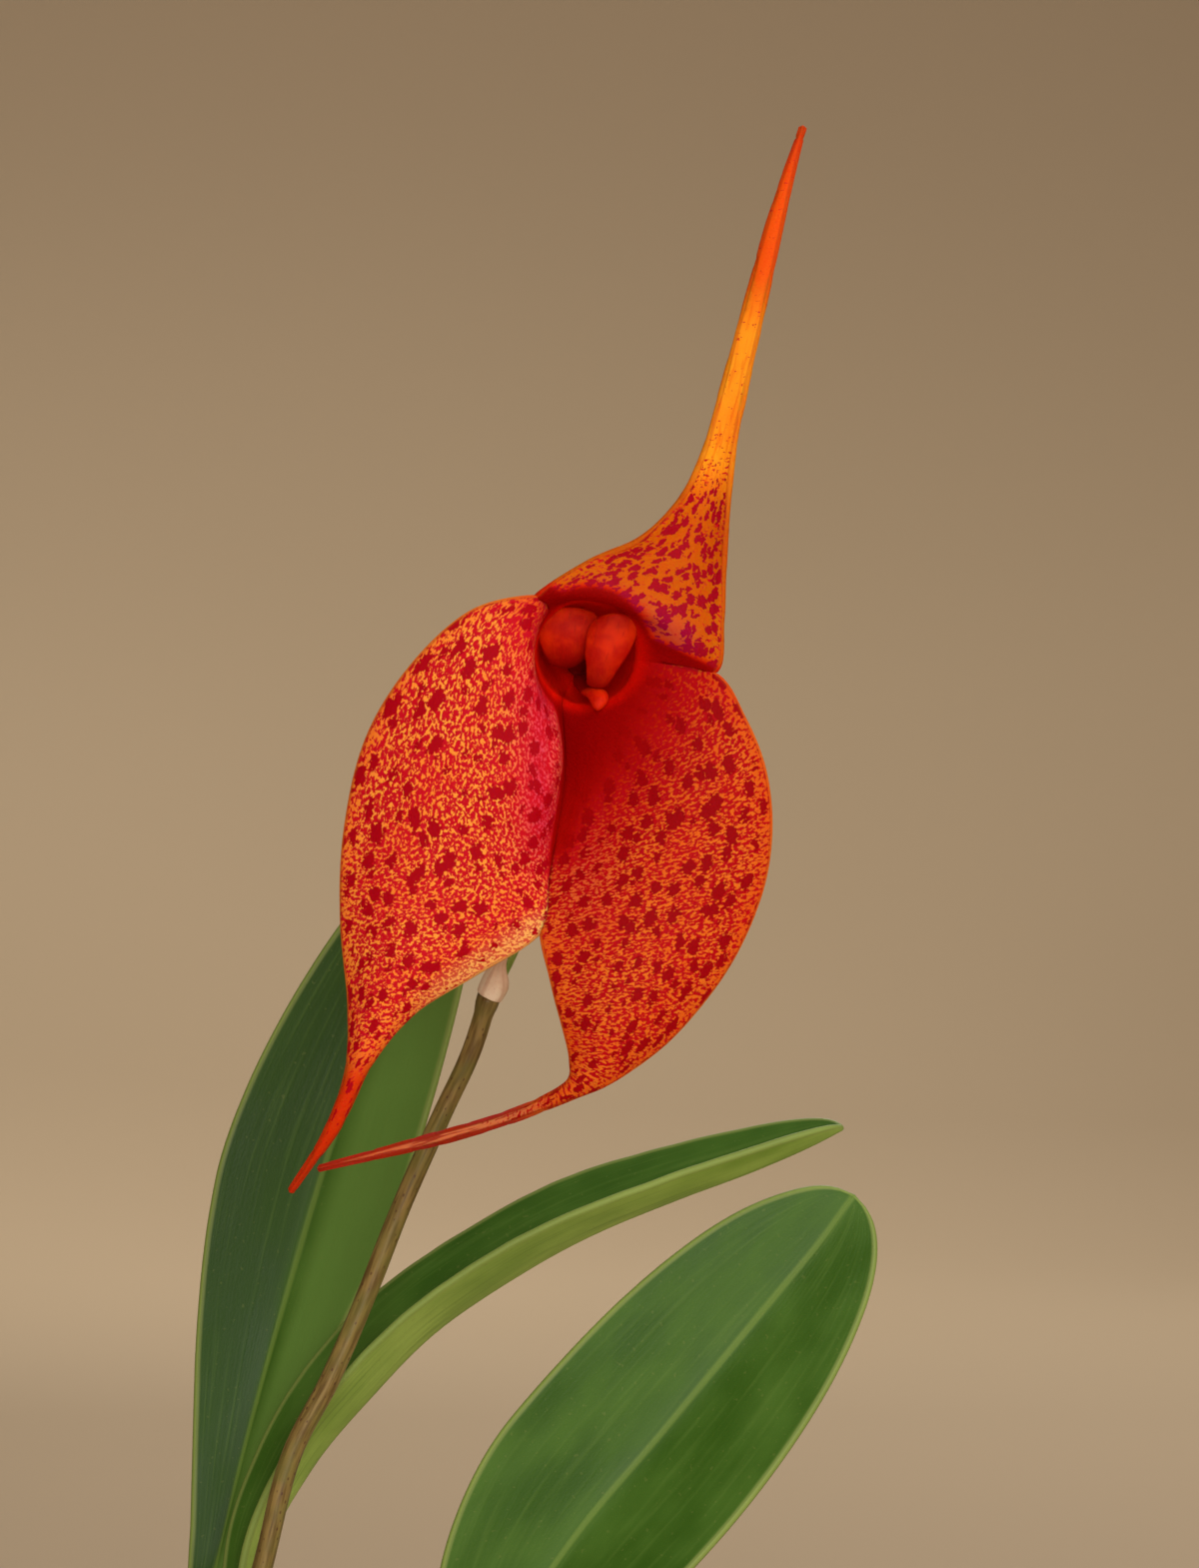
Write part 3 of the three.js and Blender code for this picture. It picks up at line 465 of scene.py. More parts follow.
# %% The piece maker
def make_piece(name, shape, layout, finish, nodes):
    """Makes the mesh, stores the marks in attributes and lets it stand for its CAD nodes.

    layout names the attributes, three marks to each; left over places are filled with 0."""
    places, faces, marks = shape
    mesh = bpy.data.meshes.new(name)
    mesh.from_pydata([tuple(place) for place in np.asarray(places) * MM], [], faces)
    mesh.polygons.foreach_set("use_smooth", [True] * len(mesh.polygons))
    values = np.array([mark for corner in marks for mark in corner], float)
    padded = np.zeros((len(values), 3 * len(layout)))
    padded[:, : values.shape[1]] = values
    for k, attribute_name in enumerate(layout):
        attribute = mesh.attributes.new(attribute_name, "FLOAT_VECTOR", "CORNER")
        attribute.data.foreach_set("vector", padded[:, 3 * k : 3 * k + 3].ravel())
    mesh.materials.append(finish.material)
    piece = bpy.data.objects.new(name, mesh)
    bpy.context.scene.collection.objects.link(piece)
    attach(piece, "root")
    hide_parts(*nodes)
    triangles = sum(len(face) - 2 for face in faces)
    print(f"{name}: {triangles} triangles for {', '.join(nodes)}")
    return piece


# %% [markdown]
# ## The calyx: its plan
# The showy part of this flower is not its petals but its calyx: three sepals that grow together
# into a short tube. The upper one is a hooded triangle. The two lower ones are broad ovals that
# join along a deep groove. All three are drawn out into long tails. Each sepal is lofted through
# stations that lie across it, and these lists say where its two edges are at each station.
# The flower has a frame of its own: x to the right, y up and z forwards, towards the camera.
#
# The tube is a stack of rings from its foot to the throat. A seam, where two sepals join, has its
# angle round the tube, the depth of the throat's edge there and its places beyond that edge. The
# crown of a sepal is how far it bulges forwards at each station. steep_end (0 for its left side, 1
# for its right), reach and power shape its drop into the groove, and crowding gathers points there.

# %% Stations of the calyx
FLOWER = np.array([29.9, -28.0, 238.0])
TUBE_RADII = [1.9, 3.4, 4.8, 5.7, 6.35]
TUBE_RISE = [0, 0.13, 0.4, 0.7, 1]
TUBE_FOOT = (-1.0, -0.5, -15.6)
THROAT = (-0.15, 0.25)
LAST_RING = len(TUBE_RADII) - 1
SEAMS = {
    "upper_left": (133, -4.5, [[-5.9, 6.4, -0.5]]),
    "upper_right": (-8, -4, [[13.6, -2, 0.2]]),
    "lower": (
        -120,
        -8,
        [[-3.1, -10.4, -7.6], [-3.2, -15, -6.6], [-3.9, -20, -5.2], [-4.6, -25, -3.2], [-5.3, -30.3, -1]],
    ),
}
SEPALS = {
    "upper": {
        "seams": ("upper_left", "upper_right"),
        "left": [[0, 10.3, 0.2], [5.5, 12.7, 0.3], [9.9, 17, 0], [12.2, 21.4, -0.5], [14.1, 28.1, -1.4],
                 [17.2, 39.3, -3.3], [20.5, 50.7, -6.5], [23.5, 59.3, -10]],
        "right": [[14.6, 3.8, 0.7], [14.8, 9.6, 0.6], [15.2, 15.6, 0], [15.8, 21.4, -0.7], [17.1, 28, -1.4],
                  [19.6, 39.2, -3.3], [22.1, 50.6, -6.5], [24.2, 59.2, -10]],
        "crown": [-0.4, -1.2, -1.6, -1.3, -0.8, -0.4],
        "steep_end": 0, "reach": 1, "power": 1, "crowding": 1,
    },
    "lower_right": {
        "seams": ("upper_right", "lower"),
        "left": [[17, -7, 0.4], [19.3, -13, 0.1], [19.9, -20, -0.7], [18.6, -27, -1.4], [15, -34.6, -1.6],
                 [9.3, -41.7, -1], [2.9, -46.6, -0.3], [-2.6, -49.1, -0.2], [-10, -52.1, -2.9],
                 [-19.2, -54.9, -6.6], [-30.4, -57.6, -11]],
        "right": [[-4.2, -35.5, 0.2], [-2.9, -40.5, 0.6], [-2, -44.6, 0.4], [-2.9, -47.4, 0],
                  [-9.6, -50.6, -2.7], [-18.9, -53.5, -6.4], [-30.2, -56.9, -11]],
        "crown": [0, 0.5, 1, 1.5, 2, 2.4, 2.2, 1.1, 0.25],
        "steep_end": 1, "reach": 0.9, "power": 1.7, "crowding": 1,
    },
    "lower_left": {
        "seams": ("lower", "upper_left"),
        "left": [[-12.7, -35.2, -0.6], [-19.2, -39.3, -0.9], [-23.8, -44.6, -1.1], [-27.3, -51.6, -1.6],
                 [-32.8, -59.5, -4.5]],
        "right": [[-13, 4.7, 0.3], [-19.6, -1.3, 0], [-24.5, -9.3, -1], [-26.9, -19.3, -1.8],
                  [-27.3, -29.2, -2], [-26.6, -39.1, -1.5], [-26.9, -45.7, -1.2], [-29.2, -52.4, -1.6],
                  [-33.4, -59.1, -4.5]],
        "crown": [0.3, 1.2, 2.4, 3.2, 3.4, 2.8, 1.7, 0.7, 0.2],
        "steep_end": 0, "reach": 0.07, "power": 2, "crowding": 1.8,
    },
}
THROAT_ROUND = [1, 0.8, 0.4, 0.15]
TAIL_STATIONS = 3
for sepal_name, sepal in SEPALS.items():
    print("stations of the", sepal_name, "sepal:", len(SEAMS[sepal["seams"][0]][2]) + len(sepal["left"]))

# %% [markdown]
# ## The calyx: its surface
# Below station 0 the points lie on the rings of the tube. Above it they lie between the two edges
# of the sepal, pushed forwards by the crown so that the sepal bulges. The groove between the lower
# sepals is deep, and the left sepal drops into it far more steeply than the right one, which makes
# the rounded shoulder that catches the light.

# %% Points of a sepal
def tube_place(ring, degrees, throat_depth):
    rise = TUBE_RISE[ring]
    angle = np.radians(degrees)
    x = mix(TUBE_FOOT[0], THROAT[0], rise) + TUBE_RADII[ring] * np.cos(angle)
    y = mix(TUBE_FOOT[1], THROAT[1], rise) + TUBE_RADII[ring] * np.sin(angle)
    z = mix(TUBE_FOOT[2], throat_depth, rise) + 0 * angle
    return np.stack([x, y, z], -1)


def seam_line(name):
    angle, depth, outside = SEAMS[name]
    rings = [tube_place(ring, angle, depth) for ring in range(LAST_RING + 1)]
    return SmoothLine([*rings, *outside])


def depth_share(sepal, station, across):
    groove = len(SEAMS[sepal["seams"][sepal["steep_end"]]][2])
    if station > groove:
        return across
    reach = mix(sepal["reach"], max(0.35, sepal["reach"]), (station / groove) ** 2)
    from_steep_end = np.abs(across - sepal["steep_end"]) / reach
    share = 1 - np.maximum(0, 1 - from_steep_end) ** sepal["power"]
    return share if sepal["steep_end"] == 0 else 1 - share


def station_places(sepal, station, across):
    """The sepal's points at a whole station, for an array of shares from its left to its right."""
    first, second = (SEAMS[name] for name in sepal["seams"])
    degrees = first[0] - ((first[0] - second[0] + 360) % 360) * across
    shift = depth_share(sepal, station, across)
    if station <= 0:
        return tube_place(station + LAST_RING, degrees, mix(first[1], second[1], shift))
    left = np.array([*first[2], *sepal["left"]][station - 1], float)
    right = np.array([*second[2], *sepal["right"]][station - 1], float)
    places = mix(left, right, across[:, None])
    crown = sepal["crown"][station - 1] if station <= len(sepal["crown"]) else 0
    places[:, 2] = mix(left[2], right[2], shift) + crown * np.sin(np.pi * across)
    if station < len(THROAT_ROUND):
        arc = tube_place(LAST_RING, degrees, places[:, 2])
        start = tube_place(LAST_RING, first[0] + 0 * across, places[:, 2])
        end = tube_place(LAST_RING, second[0] + 0 * across, places[:, 2])
        places += (arc - mix(start, end, across[:, None])) * THROAT_ROUND[station]
    return places


SEPAL_THICKNESS, TAIL_THICKNESS = 0.75, 1.12


def half_thickness(station, last_station, across):
    tail = smooth(station, last_station - TAIL_STATIONS - 2, last_station - TAIL_STATIONS)
    tip = 1 - 0.35 * smooth(station, last_station - 1.5, last_station)
    return mix(SEPAL_THICKNESS, TAIL_THICKNESS, tail) / 2 * tip * (1 - 0.35 * tail * (2 * across - 1) ** 2)


print("the throat is", 2 * TUBE_RADII[-1], "mm wide")

# %% [markdown]
# Real sepals are not as even as a loft. They have a slight blistering between their veins and a
# faint wave along their margins. A little noise moves each point, by a tenth of a millimetre or
# so. It depends on the place alone, so that two sepals still meet exactly along their seam.

# %% Lay out the grid of one sepal
LIMB_ROWS, TAIL_ROWS, SEPAL_COLUMNS = 11, 16, 44
BLISTER_HEIGHT, RIPPLE_HEIGHT, TAIL_SLIMMING = 0.14, 0.05, 0.17


def blistered(places, normals):
    moved = np.empty(places.shape[:2])
    for i in range(places.shape[0]):
        for j in range(places.shape[1]):
            at = Vector(places[i, j])
            moved[i, j] = BLISTER_HEIGHT * noise.noise(at * 0.16) + RIPPLE_HEIGHT * noise.noise(at * 0.55)
    return places + normals * moved[..., None]


def grid_normals(places):
    down = np.gradient(places, axis=0)
    over = np.gradient(places, axis=1)
    normals = np.cross(over, down)
    length = np.linalg.norm(normals, axis=-1, keepdims=True)
    return normals / np.maximum(length, 1e-9)


def sepal_grid(sepal):
    seams = [SEAMS[name] for name in sepal["seams"]]
    lines = [seam_line(name) for name in sepal["seams"]]
    last = len(seams[0][2]) + len(sepal["left"])
    tail_start = last - TAIL_STATIONS
    across = np.linspace(0, 1, SEPAL_COLUMNS + 1)
    knots = []
    for station in range(-LAST_RING, last + 1):
        crowded = smooth(station, -1, 2) * (1 - smooth(station, tail_start - 4, tail_start))
        knots.append(station_places(sepal, station, across ** mix(1, sepal["crowding"], crowded)))
    knots = np.array(knots)
    limb = np.linspace(-LAST_RING, tail_start, (LAST_RING + tail_start) * LIMB_ROWS + 1)
    tail = np.linspace(tail_start, last, TAIL_STATIONS * TAIL_ROWS + 1)[1:]
    stations = np.concatenate([limb, tail])
    columns = [SmoothLine(knots[:, j]).at(stations + LAST_RING) for j in range(len(across))]
    places = np.stack(columns, 1)
    for side, column in ((0, 0), (1, -1)):
        joined = stations <= len(seams[side][2]) + 1e-6
        places[joined, column] = lines[side].at(stations[joined] + LAST_RING)
    middle = (places[:, :1] + places[:, -1:]) / 2
    half_width = np.linalg.norm(places[:, -1] - places[:, 0], axis=1) / 2
    slimmer = 1 - TAIL_SLIMMING / np.maximum(half_width, 0.5)
    tail_share = smooth(stations, tail_start - 1.5, tail_start)
    places = middle + (places - middle) * mix(1, slimmer, tail_share)[:, None, None]
    return places, stations, across, last, tail_start


upper_places = sepal_grid(SEPALS["upper"])[0]
print("the upper sepal has a grid of", upper_places.shape[0], "rows and", upper_places.shape[1], "columns")

# %% [markdown]
# ## The calyx: where its colours lie
# The colours of a sepal follow its growth, and some light and shade is painted in with them. Deep
# red fills the throat and runs down the groove; it is partly the sepal's own colour and partly
# painted shade of these hollows. The shoulder of the left sepal carries a painted pink sheen where
# its velvet catches the light, with a weaker one low on the right sepal and a purple one near the
# foot of the upper sepal. The margins are clearer orange, and the tails lose the fine mottling.
# These broad zones are worked out at each point of the mesh, by distances in millimetres, and the
# finish adds the fine spots inside them.

# %% Zones of colour
LOWER_EDGE_FOOT, LOWER_EDGE_UP = (-5.8, 7), (0.445, 0.896)
GROOVE_FROM, GROOVE_TO, GROOVE_STEPS = [-1.0, -3.0], [-3.8, -20.0], 60
GROOVE_REACH = [18.5, 15.5, 11, 6.5, 4.5]


def distance_to(places, line):
    """The distance of each place from the nearest point of a line."""
    nearest = np.full(places.shape[:2], np.inf)
    for point in line:
        nearest = np.minimum(nearest, np.linalg.norm(places - point, axis=-1))
    return nearest


def above_lower_edge(x, y):
    """How far a place is above the line along the lower edge of the upper sepal."""
    return (x - LOWER_EDGE_FOOT[0]) * LOWER_EDGE_UP[0] + (y - LOWER_EDGE_FOOT[1]) * LOWER_EDGE_UP[1]


# Deep red of the throat and the groove: partly the sepal's own colour, partly painted shade of these
# hollows.
def throat_red_and_shade(name, places, along_mm):
    x, y = places[..., 0], places[..., 1]
    if name == "upper":
        from_throat = np.hypot(x - THROAT[0], y - THROAT[1])
        return np.maximum(1 - smooth(from_throat, 6.6, 8.8), 1 - smooth(above_lower_edge(x, y), 0.6, 2.6))
    if name == "lower_left":
        corner = np.hypot(x + 5.6, y - 3.6)
        steep = smooth(-places[..., 2], 1.4, 4.2) * smooth(x, -9, -6)
        mouth = np.maximum(1 - smooth(along_mm, -1.5, 1.8), 0.5 * (1 - smooth(corner, 1.5, 6)))
        return np.maximum(mouth, steep)
    groove = np.linspace(GROOVE_FROM, GROOVE_TO, GROOVE_STEPS)
    flat = np.stack([x, y], -1)[..., None, :]
    distance = np.linalg.norm(flat - groove, axis=-1)
    reach = along(GROOVE_REACH, np.linspace(0, 1, GROOVE_STEPS))
    return 1 - smooth((distance / reach).min(-1), 0.0, 1.35)


# Painted pink sheen: on the left sepal's shoulder, weaker low on the right sepal, purple at the foot of the
# upper one.
def pink_flush(name, places):
    x, y = places[..., 0], places[..., 1]
    if name == "lower_left":
        shoulder = np.exp(-(((x + 5.6) / 3.0) ** 2))
        return shoulder * smooth(-y, -3, 5) * (1 - smooth(-y, 18, 29))
    if name == "lower_right":
        return 0.5 * np.exp(-(((x + 0.5) / 4) ** 2)) * smooth(-y, 14, 21) * (1 - smooth(-y, 24, 34))
    purple = np.exp(-(((above_lower_edge(x, y) - 2.6) / 1.6) ** 2))
    return 0.35 * purple * smooth(x, -1, 3) * (1 - smooth(x, 10, 13))


def pale_margin(name, places, edge_mm):
    if name != "lower_left":
        return 0 * edge_mm
    x, y = places[..., 0], places[..., 1]
    return (1 - smooth(edge_mm, 1.2, 3.6)) * smooth(x, -22, -14) * smooth(-y, 26, 30)


print("deep red beside the groove, from its top to its foot, in mm:", GROOVE_REACH)

# %% [markdown]
# The marks of each point are, in order: across and along the sepal in millimetres; a number that
# sets the sepals apart; the distance from the free edge; how far out on the tail it is; the three
# zones of colour, which are the deep red (partly painted shade), the painted pink sheen and the pale
# margin; how dense the fine mottling is; the place among the veins, which run out into the tail and
# come together there; and then how large the blotches are and how yellow the ground.
# bare_tail says between which parts of the tail the blotches shrink away.

# %% Build the calyx
UPPER_NUMBER, RIGHT_NUMBER, LEFT_NUMBER = 11.3, 37.7, 73.1
SPOT_HABITS = {
    "upper": {
        "number": UPPER_NUMBER, "mottle": 0.2, "blotch": 1.62, "yellow": 0.4, "vein_width": 17,
        "bare_tail": (-0.8, -0.15),
    },
    "lower_right": {
        "number": RIGHT_NUMBER, "mottle": 1.02, "blotch": 0.95, "yellow": 0.6, "vein_width": 26,
        "bare_tail": (0.15, 0.5),
    },
    "lower_left": {
        "number": LEFT_NUMBER, "mottle": 1.08, "blotch": 0.95, "yellow": 0.85, "vein_width": 24,
        "bare_tail": (0.4, 0.85),
    },
}


def sepal_marks(name, sepal, places, stations, across, tail_start):
    habit = SPOT_HABITS[name]
    middle = places[:, len(across) // 2]
    steps = np.linalg.norm(np.diff(middle, axis=0), axis=1)
    lengths = np.concatenate([[0], np.cumsum(steps)])
    along_mm = np.broadcast_to((lengths - np.interp(0, stations, lengths))[:, None], places.shape[:2])
    widths = np.linalg.norm(np.diff(places, axis=1), axis=-1)
    over = np.concatenate([np.zeros((len(places), 1)), np.cumsum(widths, axis=1)], 1)
    across_mm = over - over[:, [len(across) // 2]]
    joined = [len(SEAMS[seam][2]) for seam in sepal["seams"]]
    free = [places[stations > joined[side], column] for side, column in ((0, 0), (1, -1))]
    edge_mm = np.minimum(*(distance_to(places, line) for line in free))
    tail = np.broadcast_to(((stations - tail_start) / TAIL_STATIONS)[:, None], places.shape[:2])
    near_edge = 1 - smooth(edge_mm, 0.4, 2.6)
    upper = name == "upper"
    limb = 1 - (smooth(tail, -0.45, 0.05) if upper else smooth(tail, 0.1, 0.7))
    deep = throat_red_and_shade(name, places, along_mm)
    mottle = habit["mottle"] * limb + near_edge * (0.35 * limb if upper else -0.28)
    yellow = habit["yellow"] * (1 - (0 if upper else 0.45) * near_edge) * limb
    if upper:
        yellow = yellow + smooth(tail, -0.85, -0.25) * (1 - smooth(tail, 0.1, 0.5)) + 0.4 * near_edge
    gathered = np.sqrt(over[:, [-1]] * habit["vein_width"])
    vein = (over / over[:, [-1]] - 0.5) * gathered + 5 * habit["number"]
    slower = mix(0.8, 0.4 if upper else 0.85, smooth(tail[1:, 0], -0.7, 0.1))
    along_vein = np.concatenate([[0], np.cumsum(steps * slower)])[:, None] + 0 * across_mm
    blotch = habit["blotch"] * (1 - smooth(tail, *habit["bare_tail"]))
    return np.stack([
        across_mm, along_mm, 0 * across_mm + habit["number"],
        edge_mm, tail, deep,
        pink_flush(name, places), pale_margin(name, places, edge_mm), mottle,
        vein, along_vein, 0 * vein,
        blotch, np.minimum(yellow, 1),
    ], -1)


def in_pot_frame(places):
    return np.stack([FLOWER[0] + places[..., 0], FLOWER[1] - places[..., 2], FLOWER[2] + places[..., 1]], -1)


def calyx_shape():
    sheet = Sheet()
    for name, sepal in SEPALS.items():
        places, stations, across, last, tail_start = sepal_grid(sepal)
        marks = sepal_marks(name, sepal, places, stations, across, tail_start)
        halves = half_thickness(stations[:, None], last, across[None, :])
        normals = grid_normals(places)
        normals[:, 0] = normals[:, -1] = 0
        sheet.grid(in_pot_frame(blistered(places, normals)), halves, marks)
    return sheet.thick()


calyx_data = calyx_shape()
print("calyx vertices:", len(calyx_data[0]))

# %% [markdown]
# ## The calyx: its ground colour
# Under the spots a sepal is orange, clearer and yellower in places, amber towards the upper tail and
# rose-pink along the right one, where a paler middle is a painted highlight. The painted pink sheen,
# the pale zone and the deep red zone, partly painted shade, are laid over it. Each zone is a mark
# of the mesh, so a mix by that mark is enough. A stretched noise adds the fine streaks of a tail.

# %% Ground colour of the sepals
class SepalMarks:
    """The marks of the calyx by name, as sockets of a finish."""

    def __init__(self, skin):
        self.across, self.along, self.number = skin.attribute("flow")
        self.edge, self.tail, self.deep = skin.attribute("zone")
        self.pink, self.pale, self.mottle = skin.attribute("tint")
        self.vein, self.along_vein, _ = skin.attribute("vein")
        self.blotch, self.yellow, self.side = skin.attribute("habit")
        self.spots = skin.join(self.across, self.along, self.number)
        self.is_upper = skin.math("LESS_THAN", self.number, (UPPER_NUMBER + RIGHT_NUMBER) / 2)
        self.is_right = skin.math("COMPARE", self.number, RIGHT_NUMBER, 1.0)


def ground_colour(skin, at, broad):
    lengthwise = skin.join(skin.times(at.across, 2.2), skin.times(at.along, 0.25), 1.0)
    streaked = skin.noise(lengthwise, 1.0)
    clear = skin.mix(at.is_upper, rgb(255, 170, 66), rgb(250, 160, 26))
    tail_streaks = skin.times(at.is_upper, skin.soft(streaked, 0.5, 0.65, 0.0, 0.5))
    clear = skin.mix(tail_streaks, clear, rgb(226, 104, 10))
    ground = skin.mix(at.yellow, rgb(228, 84, 4), clear)
    ground = skin.mix(skin.soft(broad, 0.35, 0.7, 0.0, 0.4), ground, rgb(236, 88, 10))
    amber = skin.times(at.is_upper, skin.soft(at.tail, -0.3, -0.75, 0.0, 0.8))
    ground = skin.mix(amber, ground, rgb(192, 86, 0))
    tail_end = skin.mix(at.is_upper, rgb(204, 50, 4), rgb(232, 84, 8))
    ground = skin.mix(skin.soft(at.tail, 0.15, 0.5), ground, tail_end)
    pink_tail = skin.times(at.is_right, skin.soft(at.tail, 0.0, 0.35))
    # The right tail: rose-pink, paler down its middle as a painted highlight.
    rosy_tail_and_highlight = skin.mix(skin.soft(at.edge, 0.06, 0.35), rgb(170, 34, 38), rgb(232, 150, 114))
    rosy_tail_and_highlight = skin.mix(skin.soft(streaked, 0.45, 0.6, 0.0, 0.8), rosy_tail_and_highlight, rgb(168, 40, 44))
    ground = skin.mix(pink_tail, ground, rosy_tail_and_highlight)
    # Painted pink sheen where the shoulder of the left sepal catches the light.
    ground = skin.mix(skin.times(at.pink, 0.9), ground, rgb(214, 40, 86))
    ground = skin.mix(skin.times(at.pale, 0.8), ground, rgb(238, 182, 104))
    # The deep red of the throat and groove, partly painted shade.
    return skin.mix(skin.soft(at.deep, 0.0, 0.8), ground, rgb(210, 30, 2))


# %% [markdown]
# ## The calyx: its spots
# Two patterns make the spots. A fine worm-like mottling is a noise cut off sharply in the middle,
# so about half of the surface is crimson. Larger blotches are the middles of scattered cells, with
# ragged outlines because the cells are looked up at slightly shifted places. The upper sepal has
# hardly any mottling, and its blotches are clusters of tiny purple pimples.

# %% Mottling and blotches
def fine_mottling(skin, at):
    """The noise of the mottling, and how crimson each place is for it."""
    squeeze = skin.soft(at.number, RIGHT_NUMBER, LEFT_NUMBER, 0.68, 1.0)
    stretch = skin.soft(at.number, RIGHT_NUMBER, LEFT_NUMBER, 1.25, 0.95)
    fine = skin.join(skin.times(at.across, squeeze), skin.times(at.along, stretch), at.number)
    worms = skin.noise(fine, 2.6, 2.0, 0.55, 0.35)
    lift = skin.math("MULTIPLY_ADD", at.mottle, 0.22, -0.185)
    lift = skin.math("ADD", lift, skin.soft(at.deep, 0.15, 0.8, 0.0, 0.05))
    return worms, skin.soft(skin.math("ADD", worms, lift), 0.47, 0.545)


def large_blotches(skin, at, worms):
    rows = skin.join(at.vein, at.along_vein, 0.0)
    drift = skin.node("TexNoise", {"Vector": at.spots, "Scale": 1.1, "Detail": 2.0}).outputs["Color"]
    drift = skin.node("VectorMath", {0: drift, 1: (0.5, 0.5, 0.5)}, operation="SUBTRACT").outputs[0]
    wander = {0: drift, 1: (1.1, 1.1, 0), 2: rows}
    wandering = skin.node("VectorMath", wander, operation="MULTIPLY_ADD").outputs[0]
    spacing = skin.math("MULTIPLY_ADD", at.is_upper, 0.5, 0.44)
    cell = skin.cells(wandering, spacing, voronoi_dimensions="2D")
    lot = skin.cells(wandering, spacing, "Color", voronoi_dimensions="2D")
    size = skin.times(at.blotch, skin.soft(at.pale, 0.1, 0.7, 1.0, 0.45))
    reach = skin.times(size, skin.soft(lot, 0.0, 0.8, 0.12, 0.36))
    ragged = skin.math("MULTIPLY_ADD", skin.math("SUBTRACT", worms, 0.5), -0.5, cell)
    pimples = skin.times(skin.math("SUBTRACT", skin.cells(at.spots, 2.6), 0.4), at.is_upper)
    ragged = skin.math("MULTIPLY_ADD", pimples, 0.35, ragged)
    return skin.soft(skin.math("SUBTRACT", reach, ragged), -0.02, 0.03)


# %% [markdown]
# ## The calyx: its finish
# The spots go over the ground, the deep red of the throat over the spots, and a darker line along
# the rim. The deep red, darkest near the throat, is partly the sepal's own colour and partly painted
# shade; the whole right sepal is toned darker by a painted shade that is partly its own deeper
# colour; and inside the tube the red is painted brighter, a painted glow. The blotches of the upper
# sepal turn purple under its painted sheen. The backs of the sepals are paler, with the same spots
# shining through faintly. The flesh is lit from within by scattered light, and a bump of tiny
# pimples makes it look velvety.

# %% Finish of the sepals
def sepal_finish():
    glow = {"Subsurface_Weight": 0.6, "Subsurface_Radius": (1.0, 0.1, 0.03), "Subsurface_Scale": 1.8 * MM}
    skin = Finish("velvety_mottled_sepal", Roughness=0.6, Specular_IOR_Level=0.045, **glow)
    at = SepalMarks(skin)
    broad = skin.noise(at.spots, 0.16, 2.0)
    ground = ground_colour(skin, at, broad)
    worms, mottle = fine_mottling(skin, at)
    blotch = large_blotches(skin, at, worms)

    crimson = skin.mix(broad, rgb(188, 6, 30), rgb(206, 20, 38))
    crimson = skin.mix(at.pale, crimson, rgb(206, 84, 60))
    colour = skin.mix(mottle, ground, crimson)
    blotch_colour = skin.mix(at.is_upper, rgb(170, 2, 20), rgb(166, 8, 30))
    # Painted purple sheen on the blotches of the upper sepal.
    blotch_colour = skin.mix(skin.times(at.is_upper, at.pink), blotch_colour, rgb(156, 6, 96))
    colour = skin.mix(blotch, colour, blotch_colour)
    # The right sepal is toned darker and browner: partly its own deeper colour, partly painted shade.
    colour = skin.mix(skin.times(at.is_right, 0.8), colour, (0.74, 0.52, 0.25, 1), "MULTIPLY")
    # The deep red, darkest near the throat: partly the sepal's own colour, partly painted shade of throat
    # and groove.
    colour = skin.mix(skin.soft(at.deep, 0.5, 0.95), colour, rgb(160, 4, 0))
    darkest_red_and_shade = skin.times(skin.soft(at.along, 16.0, 4.0), skin.soft(at.deep, 0.7, 1.0))
    colour = skin.mix(darkest_red_and_shade, colour, rgb(146, 0, 0))
    # Inside the tube the red is painted brighter, a painted glow.
    colour = skin.mix(skin.soft(at.along, 1.5, -1.5), colour, rgb(230, 16, 0))
    colour = skin.mix(skin.soft(at.edge, 0.3, 0.06, 0.0, 0.5), colour, rgb(160, 52, 14))
    rim = skin.mix(0.35, ground, rgb(150, 50, 10))
    colour = skin.mix(skin.math("COMPARE", at.side, 0.0, 0.5), colour, rim)
    colour = skin.mix(skin.soft(at.tail, 0.6, 1.0, 0.0, 0.5), colour, rgb(196, 40, 16))
    back = skin.mix(skin.times(mottle, 0.35), rgb(228, 150, 66), rgb(190, 60, 40))
    back = skin.mix(skin.times(blotch, 0.45), back, rgb(170, 30, 40))
    skin.colour(skin.mix(skin.math("LESS_THAN", at.side, -0.5), colour, back))

    velvet = skin.cells(at.spots, 3.4)
    relief = skin.times(blotch, 0.6)
    skin.bump(skin.math("SUBTRACT", relief, skin.times(velvet, 0.8)), 0.09, 0.6)
    return skin


CALYX_LAYOUT = ("flow", "zone", "tint", "vein", "habit")
make_piece("calyx_velvet", calyx_data, CALYX_LAYOUT, sepal_finish(), ["calyx"])

# %% [markdown]
# ## Column, petals and lip
# Inside the throat stand the parts that a visitor would miss: two small fleshy petals, a tongue-like
# lip below them and the column between. Each petal is a narrow strap that swells into a rounded
# lobe. A strap is easily made as a sheet along a line, curled back a little at its sides, with a
# width that swells and then closes in a round tip.

